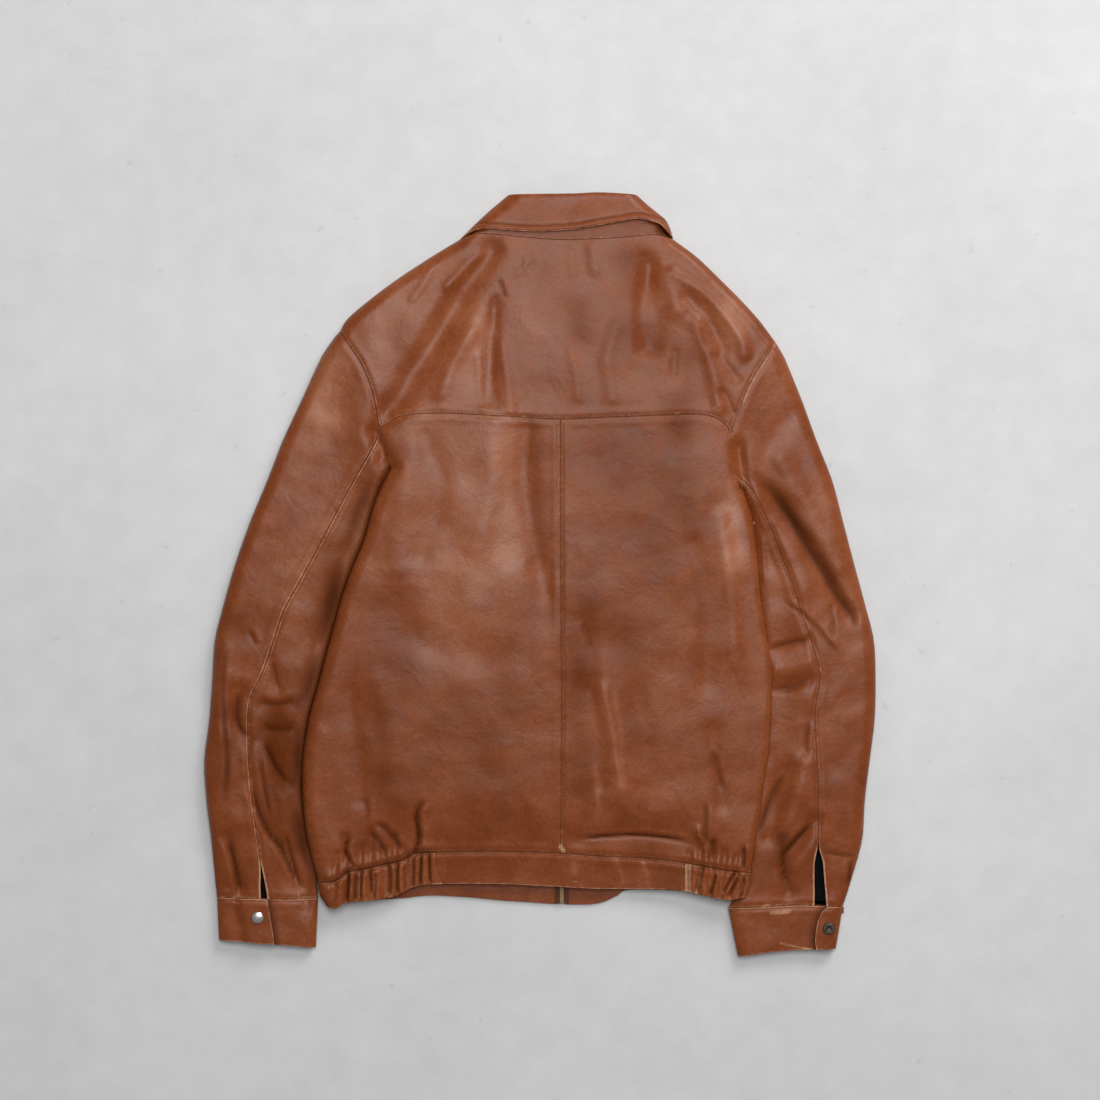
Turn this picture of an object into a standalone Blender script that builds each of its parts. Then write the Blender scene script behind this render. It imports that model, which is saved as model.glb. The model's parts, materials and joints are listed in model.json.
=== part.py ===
"""Worn leather jacket lying face down: the back is up, the sleeves lie beside the body.

The zip is closed below. Outlines and heights are millimetres; X is the viewer's right, Y runs up to
the collar, and the floor is Z = 0.
"""
import math

import bmesh
import bpy
import numpy as np

MM = 0.001

# Driving dimensions
LEATHER = 1.6          # shell leather with its lining
BAND = 2.6             # doubled leather of the hem band and the cuffs
TAPE = 0.8             # woven tape and thin lining
SEAM = 0.2             # each piece stops this far short of its seam line
CLEAR = 0.35           # between pieces that lie on each other
RIM_PULL = 0.25        # the inner face of a wall stops this much earlier at a seam
BODY_HEIGHT = 23.0     # back above the floor
SLEEVE_HEIGHT = 18.0   # sleeve above the floor, below the armhole
TUCKED_HEIGHT = 13.4   # right sleeve where the body lies on it
CUFF_HEIGHT = 12.0
HEM_DROP = 11.0        # the plain middle of the hem lies this much lower than the back
EDGE = 14.0            # width over which a folded edge rounds down
SIDE_MIDDLE = 10.0     # height of a folded edge's middle
SLEEVE_MIDDLE = 7.0
LEFT_RISE = 3.0        # how much higher the body's left edge is carried
RIGHT_RISE = 8.6       # the body's right edge, carried on the sleeve
SLEEVE_LIFT = 15.4     # underside of the front where it crosses the right sleeve
TUCK_SHARPER = 6.0     # the body's right edge rounds down over this much less width
COLLAR_LIFT = 2.1      # the front lies on the collar's points by this much
UNDER_EDGE = 12.0      # width over which a folded edge rounds down to the floor
TUCK_FLATTER = 7.5     # and how much less that is where the body lies on the sleeve
CUFF_EDGE = 11.0       # the same for the cuffs
CUFF_PROUD = 0.4       # a cuff's outer face stands this far above the sleeve's
ZIP_X = 22.5           # centre front

# Sizes of the pieces, used to share out their rows and columns
BODY_WIDTH = 215.0
BACK_LENGTH = 447.0
YOKE_WIDTH = 460.0
YOKE_LENGTH = 150.0
FRONT_LENGTH = 600.0
SLEEVE_WIDTH = 110.0
SLEEVE_LENGTH = 500.0
SLEEVE_RUN = 560.0           # along its outer edge
FRONT_SEAM_LEFT = 0.55       # where the seam under a sleeve lies: a share of its width from the inner edge
FRONT_SEAM_RIGHT = 0.30
CUFF_WIDTH = 106.0
CUFF_LENGTH = 48.0
BAND_LENGTH = 440.0
BAND_WIDTH = 34.0
COLLAR_LENGTH = 200.0
COLLAR_FRONT = 75.0

# Zip
FRONT_GAP = 3.5        # from the centre front to the edge of each front
TAPE_HALF = 7.2        # half widths of the tape and of the chain
CHAIN_HALF = 2.7
CHAIN_WALL = 1.4
CHAIN_RISE = 0.1       # the chain's face above the fronts' face
ZIP_TOP = 296.0
ZIP_END = -339.0
CHAIN_BAND = 300.0     # it runs behind the band from this far down
SLIDER = (8.0, 10.0, 1.5)
SLIDER_BEVEL = 0.4
SLIDER_Y = 288.0
SLIDER_LOW = 0.3       # the slider's face below the chain's

# Outlines seen from above, each from its first named end to the second
SHOULDER_LEFT = [(-85, 344), (-113, 327), (-148, 304), (-176, 283), (-198, 264), (-206, 251)]
SHOULDER_RIGHT = [(138, 345), (162, 327), (186, 304), (207, 283), (226, 262), (243, 239)]
NECK = [(-85, 344), (-67, 350), (-41, 349), (-10, 346), (21, 344), (62, 345), (93, 347), (118, 349),
        (138, 345)]
ARMHOLE_LEFT = [(-206, 251), (-196, 236), (-184, 218), (-175, 198), (-169, 177), (-165, 151),
                (-159, 129), (-154, 110)]
ARMHOLE_RIGHT = [(243, 239), (230, 221), (216, 198), (206, 175), (199, 156), (194, 134), (199, 110),
                 (210, 88)]
YOKE_SEAM = [(-165, 151), (-153, 159), (-139, 164), (-113, 166), (-72, 165), (-21, 162), (21, 160),
             (72, 162), (124, 164), (162, 165), (178, 162), (190, 155), (196, 145)]
SIDE_LEFT = [(-154, 110), (-165, 88), (-174, 62), (-181, 36), (-194, 5), (-205, -26), (-216, -67),
             (-227, -108), (-238, -149), (-244, -191), (-244, -232), (-239, -273), (-228, -315)]
SIDE_RIGHT = [(210, 88), (218, 62), (221, 36), (224, 5), (227, -26), (232, -57), (237, -88),
              (238, -118), (237, -149), (235, -180), (230, -211), (226, -242), (221, -273), (216, -305)]
CENTRE_BACK = [(21, 160), (21, 15), (22, -129), (21, -286)]
BACK_HEM = [(-228, -315), (-211, -314), (-196, -304), (-180, -302), (-165, -298), (-144, -294),
            (-128, -286), (-103, -285), (-41, -284), (21, -286), (62, -289), (103, -291), (144, -295),
            (170, -299), (191, -303), (216, -305)]
BACK_EDGE = [(-219, -341), (-210, -342), (-198, -336), (-175, -334), (-149, -330), (-129, -321),
             (-103, -318), (-41, -318), (21, -321), (62, -323), (103, -323), (144, -324), (165, -328),
             (191, -333), (212, -330)]
FRONT_HEM = [(-228, -315), (-201, -310), (-144, -302), (-103, -300), (-41, -302), (23, -306),
             (82, -302), (154, -300), (216, -305)]
FRONT_EDGE = [(-219, -341), (-198, -338), (-175, -336), (-144, -334), (-113, -331), (-72, -333),
              (-41, -336), (-10, -338), (21, -340), (52, -340), (67, -337), (80, -331), (95, -325),
              (165, -327), (212, -330)]
BAND_SIDE_LEFT = [(-228, -315), (-227, -328), (-219, -341)]
BAND_SIDE_RIGHT = [(216, -305), (216, -318), (212, -330)]
FRONT_ARMHOLE_LEFT = [(-206, 251), (-154, 110)]
FRONT_ARMHOLE_RIGHT = [(243, 239), (210, 88)]
FRONT_NECK_LEFT = [(-85, 344), (-74, 318), (-50, 290), (-15, 271), (19, 266)]
FRONT_NECK_RIGHT = [(138, 345), (124, 318), (98, 290), (62, 271), (26, 266)]

OUTER_LEFT = [(-206, 251), (-215, 240), (-227, 221), (-246, 180), (-265, 139), (-281, 98), (-298, 57),
              (-313, 15), (-325, -26), (-335, -67), (-338, -108), (-341, -149), (-346, -191),
              (-344, -232), (-339, -273), (-335, -314), (-333, -332)]
OUTER_RIGHT = [(243, 239), (253, 221), (270, 180), (285, 139), (301, 98), (312, 57), (323, 15),
               (334, -26), (344, -67), (346, -108), (345, -149), (340, -191), (335, -232), (332, -273),
               (321, -314), (312, -342)]
INNER_LEFT = [(-155, 109), (-167, 88), (-176, 62), (-183, 36), (-196, 5), (-207, -26), (-218, -67),
              (-229, -108), (-240, -149), (-246, -191), (-246, -232), (-241, -273), (-231, -306),
              (-229, -333)]
INNER_RIGHT = [(212, 87), (220, 62), (223, 36), (226, 5), (229, -26), (228, -57), (229, -88),
               (230, -118), (229, -149), (227, -180), (223, -211), (219, -242), (216, -273),
               (213, -298), (206, -322), (194, -343)]
WRIST_LEFT = [(-229, -333), (-258, -334), (-299, -333), (-333, -332)]
WRIST_RIGHT = [(194, -343), (227, -342), (268, -340), (312, -342)]
BACK_SEAM_LEFT = [(-165, 151), (-170, 134), (-185, 108), (-206, 70), (-229, 26), (-247, -7),
                  (-263, -36), (-271, -59), (-277, -77), (-286, -103), (-299, -132), (-300, -180),
                  (-297, -221), (-293, -252), (-287, -299), (-284, -333)]
BACK_SEAM_RIGHT = [(202, 104), (219, 86), (230, 65), (240, 41), (247, 21), (255, 3), (263, -21),
                   (271, -46), (280, -72), (286, -93), (288, -108), (284, -129), (282, -144),
                   (284, -180), (286, -221), (286, -281), (289, -341)]
CUFF_END_LEFT = [(-231, -384), (-263, -381), (-299, -378), (-331, -376)]
CUFF_END_RIGHT = [(204, -393), (232, -389), (263, -386), (305, -385)]
CUFF_INNER_LEFT = [(-229, -333), (-230, -358), (-231, -384)]
CUFF_OUTER_LEFT = [(-333, -332), (-332, -354), (-331, -376)]
CUFF_INNER_RIGHT = [(194, -343), (199, -368), (204, -393)]
CUFF_OUTER_RIGHT = [(312, -342), (309, -362), (305, -385)]

COLLAR_FOLD = [(-33, 391), (0, 391.5), (36, 392), (62, 393), (100, 391)]
COLLAR_SLOPE_LEFT = [(-33, 391), (-52, 375), (-66, 362), (-76, 352), (-84, 344)]
COLLAR_SLOPE_RIGHT = [(100, 391), (111, 381), (122, 372), (129, 366), (134, 357), (137, 347)]
LEAF_EDGE = [(-84, 344), (-79, 348), (-69, 353), (-55, 355), (-41, 354), (-29, 353), (0, 352),
             (33, 354), (59, 358), (87, 363), (99, 365), (112, 363), (124, 357), (137, 347)]
FRONT_FOLD_LEFT = [(-33, 391), (-22, 372), (-5, 345), (9, 318), (15, 300)]
FRONT_FOLD_RIGHT = [(100, 391), (88, 372), (58, 345), (37, 318), (30, 300)]
FRONT_LEAF_LEFT = [(-84, 344), (-66, 312), (-40, 280), (-12, 250)]
FRONT_LEAF_RIGHT = [(137, 347), (116, 312), (86, 280), (57, 250)]
STAND_FOLD = [(-31, 387), (0, 387.5), (36, 387.5), (62, 388), (98, 387)]
STAND_SLOPE_LEFT = [(-31, 387), (-50, 371), (-64, 358), (-73, 349.5), (-80, 345)]
STAND_SLOPE_RIGHT = [(98, 387), (108, 377), (118, 368.5), (125, 362), (129, 355), (132, 348)]
STAND_NECK = [(-80, 345), (-67, 350.5), (-41, 349.4), (-10, 346.4), (21, 344.4), (62, 345.4),
              (93, 347.4), (118, 349.4), (132, 348)]
STAND_FRONT_NECK_LEFT = [(-80, 345), (-72, 319), (-49, 291.4), (-15, 271.8), (19, 266.8)]
STAND_FRONT_NECK_RIGHT = [(132, 348), (122, 319), (97, 291.4), (62, 271.8), (26, 266.8)]
STAND_FRONT_FOLD_LEFT = [(-31, 387), (-21, 369), (-6, 342), (8, 316), (16, 297)]
STAND_FRONT_FOLD_RIGHT = [(98, 387), (86, 369), (57, 342), (36, 316), (29, 297)]

# Broad folds: route, half width, height above the leather around it
BODY_FOLDS = [
    ([(-82, 273), (-103, 242), (-124, 206), (-139, 180), (-155, 168)], 14, -3.0),
    ([(-46, 273), (-51, 237), (-55, 180)], 9, -1.6),
    ([(107, 324), (116, 280), (118, 232)], 10, -2.0),
    ([(-60, 140), (-78, 60), (-72, -10)], 40, 2.2),
    ([(-20, 120), (0, 30), (10, -40)], 22, -1.6),
    ([(-150, -40), (-110, -75), (-60, -80)], 24, -2.0),
    ([(60, -100), (75, -170), (80, -220)], 18, 2.0),
    ([(44, -46), (52, -77), (55, -110)], 10, -1.2),
    ([(177, -160), (182, -201), (187, -235)], 9, -1.8),
    ([(36, -271), (104, -266), (144, -272), (170, -280)], 9, -1.8),
    ([(150, 120), (165, 40), (160, -60)], 30, 1.8),
]
SLEEVE_FOLDS_RIGHT = [
    ([(220, 96), (235, 86), (247, 72), (263, 46), (286, 10), (304, -21), (319, -41)], 8, -4.2),
    ([(248, 120), (266, 84), (286, 48), (306, 10)], 12, 2.5),
    ([(240, 50), (256, 18), (270, -15)], 10, 1.8),
    ([(237, -77), (258, -70), (276, -67)], 6, -2.0),
    ([(242, -97), (258, -95), (276, -89)], 8, 1.8),
    ([(242, -116), (258, -116), (276, -109)], 7, -2.0),
    ([(276, -149), (271, -180)], 8, -1.5),
    ([(252, -201), (242, -232), (236, -270)], 9, -2.2),
    ([(272, -195), (262, -230), (250, -262)], 10, 2.0),
    ([(283, -252), (262, -280), (251, -296), (252, -314), (256, -326)], 7, -3.6),
    ([(276, -282), (262, -302)], 7, 1.6),
]
SLEEVE_FOLDS_LEFT = [
    ([(-311, -118), (-312, -149), (-301, -170)], 9, -3.0),
    ([(-326, -77), (-324, -129), (-321, -180), (-318, -250)], 9, 1.5),
    ([(-323, -270), (-317, -288), (-309, -324)], 6, -3.0),
    ([(-298, -211), (-290, -242), (-278, -268), (-265, -285), (-250, -320)], 7, -2.2),
    ([(-284, -170), (-273, -196), (-260, -216)], 8, -2.2),
    ([(-268, -180), (-260, -215), (-257, -260)], 12, 2.0),
    ([(-276, -88), (-269, -118)], 7, -1.6),
    ([(-286, -134), (-256, -134)], 6, -1.6),
    ([(-286, -160), (-258, -160)], 6, -1.6),
]
# Gathers of the elastic: upper end in the back, lower end at the band's edge, half width, height
GATHERS_LEFT = [
    ((-208, -286), (-213, -341), 3.6, -2.4), ((-200, -268), (-199, -341), 3.6, -3.0),
    ((-184, -280), (-187, -338), 3.6, -2.6), ((-174, -262), (-173, -336), 3.6, -2.2),
    ((-160, -282), (-160, -333), 3.6, -2.4), ((-150, -270), (-147, -333), 3.6, -2.8),
    ((-138, -284), (-135, -328), 3.4, -2.0), ((-126, -250), (-125, -324), 3.8, -2.8),
    ((-116, -286), (-114, -322), 3.4, -1.8),
]
GATHERS_RIGHT = [
    ((154, -286), (152, -326), 3.4, -1.8), ((166, -280), (162, -331), 3.6, -2.4),
    ((178, -276), (174, -331), 3.6, -2.2), ((190, -284), (184, -331), 3.6, -2.4),
    ((202, -288), (195, -331), 3.6, -2.2),
]
ELASTIC_LEFT_END = -107.0    # the plain band starts here on the back
ELASTIC_RIGHT_END = 148.0
FRONT_ELASTIC_LEFT = -165.0
FRONT_ELASTIC_RIGHT = 160.0

STAND_WIDTH = 42.0
STAND_SHORT = 0.3            # the stand stops this far short of the neck seam
STAND_BELOW = 0.6            # between the stand and the leaf
COLLAR_CROWN = 21.2          # height of the leaf at its fold, and how much it rises from there
COLLAR_RISE = 3.8
FOLD_ROLL = 2.4              # how far the leaf rolls down at its fold

HEAD_FADE = 10               # how soon a sleeve's rows straighten below the armhole

# Cuffs: the outer side's end laps over the inner side's
CUFF_GAP_LEFT = 0.2           # between the wrist seam and the cuff
CUFF_GAP_RIGHT = 0.55
TAB_LEFT = (-280, -274)       # tab end at the wrist and at the cuff's end
TAB_RIGHT = (294, 284)
LAP = 22.0                    # how far the inner side runs on below the tab
VENT = 58.0                   # length of the open seam above the cuff
VENT_LEFT_GAP = 7.0
VENT_RIGHT_GAP = 14.0
VENT_LINING_LEFT = (-284, -309)
VENT_LINING_RIGHT = (289, -314)
VENT_LINING_HALF = 12.0
VENT_LINING_TOP = 26.0        # how far it runs up and down from there
VENT_LINING_LOW = 22.0
VENT_BELOW_LEFT = 0.3
VENT_BELOW_RIGHT = 1.0
SNAP = 12.5                   # cap diameter
SNAP_LEFT = (-290, -352)
SNAP_RIGHT = (297, -363)


def smooth(points, samples=200):
    """A smooth curve through the points, as samples at even distances along it."""
    p = np.array(points, float)
    p = np.vstack([2 * p[0] - p[1], p, 2 * p[-1] - p[-2]])
    line = []
    for a, b, c, d in zip(p, p[1:], p[2:], p[3:]):
        t = np.linspace(0, 1, 16, endpoint=False)[:, None]
        line.append(0.5 * (2 * b + (c - a) * t + (2 * a - 5 * b + 4 * c - d) * t**2
                           + (3 * b - a - 3 * c + d) * t**3))
    return even(np.vstack(line + [p[-2:-1]]), samples)


def even(line, samples=200):
    """The same line with its samples at even distances."""
    run = np.concatenate([[0], np.cumsum(np.linalg.norm(np.diff(line, axis=0), axis=1))])
    where = np.linspace(0, run[-1], samples + 1)
    return np.stack([np.interp(where, run, line[:, k]) for k in range(2)], axis=1)


def at(line, t):
    """Points at fractions t of the line's length."""
    where = np.linspace(0, 1, len(line))
    return np.stack([np.interp(t, where, line[:, k]) for k in range(2)], axis=-1)


def fraction(line, point):
    """How far along the line its nearest place to the point is, from 0 to 1."""
    fine = at(line, np.linspace(0, 1, 20001))
    return np.argmin(np.linalg.norm(fine - np.array(point, float), axis=1)) / 20000


def stretch(line, start, end):
    """The part of a line between two fractions of its length."""
    return at(line, np.linspace(start, end, len(line)))


def joined(*lines):
    """Lines end to end, as one line."""
    return even(np.vstack([line if k == 0 else line[1:] for k, line in enumerate(lines)]))


def patch(top, bottom, left, right):
    """A surface in plan spanned between four lines; u runs left to right, v runs top to bottom."""
    def point(u, v):
        u, v = np.broadcast_arrays(u, v)
        across = (1 - v)[..., None] * at(top, u) + v[..., None] * at(bottom, u)
        down = (1 - u)[..., None] * at(left, v) + u[..., None] * at(right, v)
        corners = ((1 - u) * (1 - v))[..., None] * top[0] + (u * (1 - v))[..., None] * top[-1] \
            + ((1 - u) * v)[..., None] * bottom[0] + (u * v)[..., None] * bottom[-1]
        return across + down - corners
    return point


def distance(points, lines):
    """Shortest distance in plan from each point to any of the lines."""
    flat = points.reshape(-1, 2)
    best = np.full(len(flat), 1e9)
    for line in lines:
        coarse = line[::4] if len(line) > 50 else line
        start, step = coarse[:-1], np.diff(coarse, axis=0)
        to = flat[:, None] - start[None]
        t = np.clip((to * step).sum(-1) / (step * step).sum(-1), 0, 1)
        gap = np.linalg.norm(to - t[..., None] * step, axis=-1).min(axis=1)
        best = np.minimum(best, gap)
    return best.reshape(points.shape[:-1])


def ease(t):
    """0 up to 1 with no corner at either end."""
    t = np.clip(t, 0, 1)
    return t * t * (3 - 2 * t)


def rounded(d, radius):
    """A folded edge's profile: 0 at the edge, rising as a quarter ellipse to 1 a radius in."""
    t = np.clip(1 - d / radius, 0, 1)
    return np.sqrt(1 - t * t)


def relief(points, folds):
    """Height of the folds at each point."""
    height = np.zeros(points.shape[:-1])
    for route, width, rise in folds:
        line = smooth(route, 24) if len(route) > 2 else np.array(route, float)
        height += rise * np.exp(-(distance(points, [line]) / width) ** 2)
    return height


CURVES = {name: smooth(value) for name, value in list(globals().items())
          if name.isupper() and isinstance(value, list) and len(value[0]) == 2 and np.isscalar(value[0][0])}
GATHERS = [([top, end], width, rise) for top, end, width, rise in GATHERS_LEFT + GATHERS_RIGHT]
BODY_LINES = [CURVES[name] for name in
              ("SHOULDER_LEFT", "SHOULDER_RIGHT", "OUTER_LEFT", "OUTER_RIGHT", "SIDE_LEFT", "SIDE_RIGHT",
               "BAND_SIDE_LEFT", "BAND_SIDE_RIGHT", "COLLAR_SLOPE_LEFT", "COLLAR_SLOPE_RIGHT")]


def sleeve_lines(side):
    """The folded edges of one sleeve and its cuff."""
    names = ("SHOULDER", "OUTER", "INNER", "CUFF_INNER", "CUFF_OUTER")
    return [CURVES[f"{name}_{side}"] for name in names]


def right_tuck(points):
    """1 where the body's right edge lies on the sleeve, 0 away from there."""
    return ease((88 - points[..., 1]) / 60) * ease((points[..., 0] - 60) / 60)


def body_side(points):
    """Height of the middle of the body's folded edge."""
    left = LEFT_RISE * ease((110 - points[..., 1]) / 60) * ease((-60 - points[..., 0]) / 60)
    return SIDE_MIDDLE + left + RIGHT_RISE * right_tuck(points)


def body_top(points):
    """Outer face of the back, the yoke and the back of the band."""
    d = distance(points, BODY_LINES)
    side = body_side(points)
    drop = HEM_DROP * ease((-225 - points[..., 1]) / 100) * ease((d - 25) / 85)
    fold = relief(points, BODY_FOLDS + GATHERS) * ease(d / EDGE)
    return side + (BODY_HEIGHT - drop + fold - side) * rounded(d, EDGE - TUCK_SHARPER * right_tuck(points))


def body_bottom(points):
    """Outer face of the fronts, which lie on the floor, on the collar's points and on the right sleeve."""
    d = distance(points, BODY_LINES)
    tuck = right_tuck(points)
    ramp = 26 + 18 * ease((-250 - points[..., 1]) / 70)
    on_sleeve = SLEEVE_LIFT * tuck * (1 - ease(d / ramp)) * (points[..., 0] > 0)
    necks = [CURVES["FRONT_NECK_LEFT"], CURVES["FRONT_NECK_RIGHT"]]
    on_collar = COLLAR_LIFT * (1 - ease((distance(points, necks) - 34) / 40))
    lift = on_sleeve + on_collar * (points[..., 1] > 120)
    nose = UNDER_EDGE - TUCK_FLATTER * tuck
    return lift + (body_side(points) - lift) * (1 - rounded(d, nose))


def sleeve_side(points, side):
    """Height of the middle of a sleeve's folded edge."""
    away = distance(points, [CURVES[f"ARMHOLE_{side}"]])
    return SIDE_MIDDLE + (SLEEVE_MIDDLE - SIDE_MIDDLE) * ease(away / 60)


def sleeve_top(points, side):
    """Outer face of the sleeve's upper side."""
    away = distance(points, [CURVES[f"ARMHOLE_{side}"]])
    d = distance(points, sleeve_lines(side))
    middle = sleeve_side(points, side)
    crown = SLEEVE_HEIGHT
    if side == "RIGHT":
        inner = distance(points, [CURVES["INNER_RIGHT"], CURVES["CUFF_INNER_RIGHT"]])
        crown = TUCKED_HEIGHT + (SLEEVE_HEIGHT - TUCKED_HEIGHT) * ease((inner - 16) / 34)
    crown = crown + (np.minimum(crown, CUFF_HEIGHT) - crown) * ease((-240 - points[..., 1]) / 90)
    crown = BODY_HEIGHT + (crown - BODY_HEIGHT) * ease(away / 56)
    own = SLEEVE_FOLDS_LEFT if side == "LEFT" else SLEEVE_FOLDS_RIGHT
    fold = relief(points, BODY_FOLDS) * (1 - ease(away / 40)) + relief(points, own) * ease(away / 25)
    crown = crown + fold * ease((d - 2) / EDGE)
    return middle + (crown - middle) * rounded(d, EDGE)


def sleeve_bottom(points, side):
    """Outer face of the sleeve's under side, flat on the floor."""
    d = distance(points, sleeve_lines(side))
    return sleeve_side(points, side) * (1 - rounded(d, UNDER_EDGE))


def toward_edge(start, edge, flat_steps, arc_steps, share):
    """Fractions from start to a folded edge at 0 or 1, packed closer over the last share of the width."""
    sign = 1 if edge == 1 else -1
    share = np.minimum(share, 0.8 * np.abs(edge - start))
    knee = edge - sign * share
    flat = [start + (knee - start) * k / flat_steps for k in range(flat_steps)]
    turn = [edge - sign * share * (1 - math.sin(math.pi / 2 * k / arc_steps)) * np.ones_like(start)
            for k in range(arc_steps + 1)]
    return flat + turn


def tangents(grid, axis):
    """Directions along a grid, each halfway between the steps before and after it."""
    step = np.diff(grid, axis=axis)
    step /= np.linalg.norm(step, axis=-1, keepdims=True)
    first, last = np.take(step, [0], axis), np.take(step, [-1], axis)
    return np.concatenate([first, step], axis) + np.concatenate([step, last], axis)


def sheet(name, outer, wall, material, outward=1.0):
    """A closed piece: the outer face given as a grid, the inner face a wall's thickness behind it."""
    normal = np.cross(tangents(outer, 1), tangents(outer, 0))
    normal /= np.linalg.norm(normal, axis=-1, keepdims=True)
    for border in (np.s_[0], np.s_[:, 0]):
        facing = normal[border]
        steep = np.abs(facing[:, 2]) < 0.75
        facing[steep, 2] = 0
        normal[border] = facing / np.linalg.norm(facing, axis=-1, keepdims=True)
    inner = outer - outward * wall * normal
    pulled = inner.copy()
    for here, there in ((np.s_[0], np.s_[1]), (np.s_[-1], np.s_[-2]),
                        (np.s_[:, 0], np.s_[:, 1]), (np.s_[:, -1], np.s_[:, -2])):
        step = inner[there] - inner[here]
        pulled[here] += RIM_PULL * step / np.linalg.norm(step, axis=-1, keepdims=True)
    return solid(name, outer, pulled, material)


def solid(name, outer, inner, material):
    """A closed mesh between two grids of the same size."""
    rows, columns = outer.shape[:2]
    count = rows * columns
    vertices = np.concatenate([outer.reshape(-1, 3), inner.reshape(-1, 3)]) * MM
    faces = []
    for i in range(rows - 1):
        for j in range(columns - 1):
            a, b = i * columns + j, (i + 1) * columns + j
            faces.append((a, a + 1, b + 1, b))
            faces.append((a + count, b + count, b + 1 + count, a + 1 + count))
    rim = [j for j in range(columns)] + [(i + 1) * columns - 1 for i in range(1, rows)] \
        + [(rows - 1) * columns + j for j in range(columns - 2, -1, -1)] \
        + [i * columns for i in range(rows - 2, 0, -1)]
    for a, b in zip(rim, rim[1:] + rim[:1]):
        faces.append((b, a, a + count, b + count))
    mesh = bpy.data.meshes.new(name)
    mesh.from_pydata(vertices.tolist(), [], faces)
    work = bmesh.new()
    work.from_mesh(mesh)
    if work.calc_volume(signed=True) < 0:
        bmesh.ops.reverse_faces(work, faces=work.faces)
    bmesh.ops.triangulate(work, faces=work.faces)
    work.to_mesh(mesh)
    work.free()
    return add(name, mesh, material)


def add(name, mesh, material):
    """Put a mesh in the scene under its name."""
    mesh.materials.append(material)
    mesh.shade_smooth()
    thing = bpy.data.objects.new(name, mesh)
    bpy.context.scene.collection.objects.link(thing)
    return thing


def paint(name, colour, roughness, metallic=0.0):
    """One material by its base colour, roughness and metallic value."""
    material = bpy.data.materials.new(name)
    material.use_nodes = True
    shader = material.node_tree.nodes["Principled BSDF"]
    shader.inputs["Base Color"].default_value = (*colour, 1)
    shader.inputs["Roughness"].default_value = roughness
    shader.inputs["Metallic"].default_value = metallic
    return material


def lay(plan, height, rows, columns):
    """A grid of points: places in plan with their heights."""
    u, v = np.broadcast_arrays(columns, rows)
    points = plan(u, v)
    return np.concatenate([points, height(points)[..., None]], axis=-1)


def runs(start, *stops):
    """Fractions in even steps from stop to stop, each stop given with its number of steps."""
    rows = [start]
    for stop, steps in stops:
        rows += [rows[-1] + (stop - rows[-1]) * k / steps for k in range(1, steps + 1)]
    return np.array(rows)[:, None]


def side_packed(length, steps, arc_steps, share, end_gap=SEAM):
    """Column fractions from a folded edge at 0 to a seam at 1."""
    arc = [share * (1 - math.cos(math.pi / 2 * k / arc_steps)) for k in range(arc_steps)]
    flat = [share + (1 - end_gap / length - share) * k / steps for k in range(steps + 1)]
    return np.array(arc + flat)[None, :]


def make_yoke(leather):
    """The yoke across the shoulders, one piece."""
    c = CURVES
    top = joined(c["SHOULDER_LEFT"][::-1], c["NECK"], c["SHOULDER_RIGHT"])
    left_end = fraction(c["ARMHOLE_LEFT"], YOKE_SEAM[0])
    right_end = fraction(c["ARMHOLE_RIGHT"], YOKE_SEAM[-1])
    plan = patch(top, c["YOKE_SEAM"], stretch(c["ARMHOLE_LEFT"], 0, left_end),
                 stretch(c["ARMHOLE_RIGHT"], 0, right_end))
    rows = runs(0.0001, (0.012, 1), (0.045, 1), (0.09, 1), (1 - SEAM / YOKE_LENGTH, 6))
    ends = 0.6 / YOKE_WIDTH
    columns = ends + (1 - 2 * ends) * spread(28)[None, :]
    outer = lay(plan, body_top, rows, columns)
    outer[0, :, 2] = np.maximum(outer[0, :, 2], SIDE_MIDDLE + SEAM)
    sheet("back_yoke", outer, LEATHER, leather, -1)


def spread(steps):
    """Fractions from 0 to 1, closer together at both ends."""
    t = np.linspace(0, 1, steps + 1)
    return t - 0.75 * np.sin(2 * math.pi * t) / (2 * math.pi)


def make_backs(leather):
    """The two back panels, joined along the centre back."""
    c = CURVES
    middle = fraction(c["YOKE_SEAM"], CENTRE_BACK[0])
    hem_middle = fraction(c["BACK_HEM"], CENTRE_BACK[-1])
    for side in ("LEFT", "RIGHT"):
        armhole = c[f"ARMHOLE_{side}"]
        start = fraction(armhole, YOKE_SEAM[0] if side == "LEFT" else YOKE_SEAM[-1])
        edge = joined(stretch(armhole, start, 1), c[f"SIDE_{side}"])
        if side == "LEFT":
            top, hem = stretch(c["YOKE_SEAM"], 0, middle), stretch(c["BACK_HEM"], 0, hem_middle)
        else:
            top, hem = stretch(c["YOKE_SEAM"], 1, middle), stretch(c["BACK_HEM"], 1, hem_middle)
        plan = patch(top, hem, edge, c["CENTRE_BACK"])
        armpit = fraction(edge, SIDE_LEFT[0] if side == "LEFT" else SIDE_RIGHT[0])
        short = SEAM / BACK_LENGTH
        rows = runs(short, (armpit, 4), (armpit + 0.12, 3), (0.82, 6), (1 - short, 6))
        columns = side_packed(BODY_WIDTH, 20, 4, 0.065 if side == "LEFT" else 0.045)
        outer = lay(plan, body_top, rows, columns)
        at_side = outer[:, 0, 2]
        outer[:, 0, 2] = np.maximum(at_side, body_side(outer[:, 0, :2]) + SEAM)
        sheet(f"back_{side.lower()}", outer, LEATHER, leather, -1 if side == "LEFT" else 1)


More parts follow.
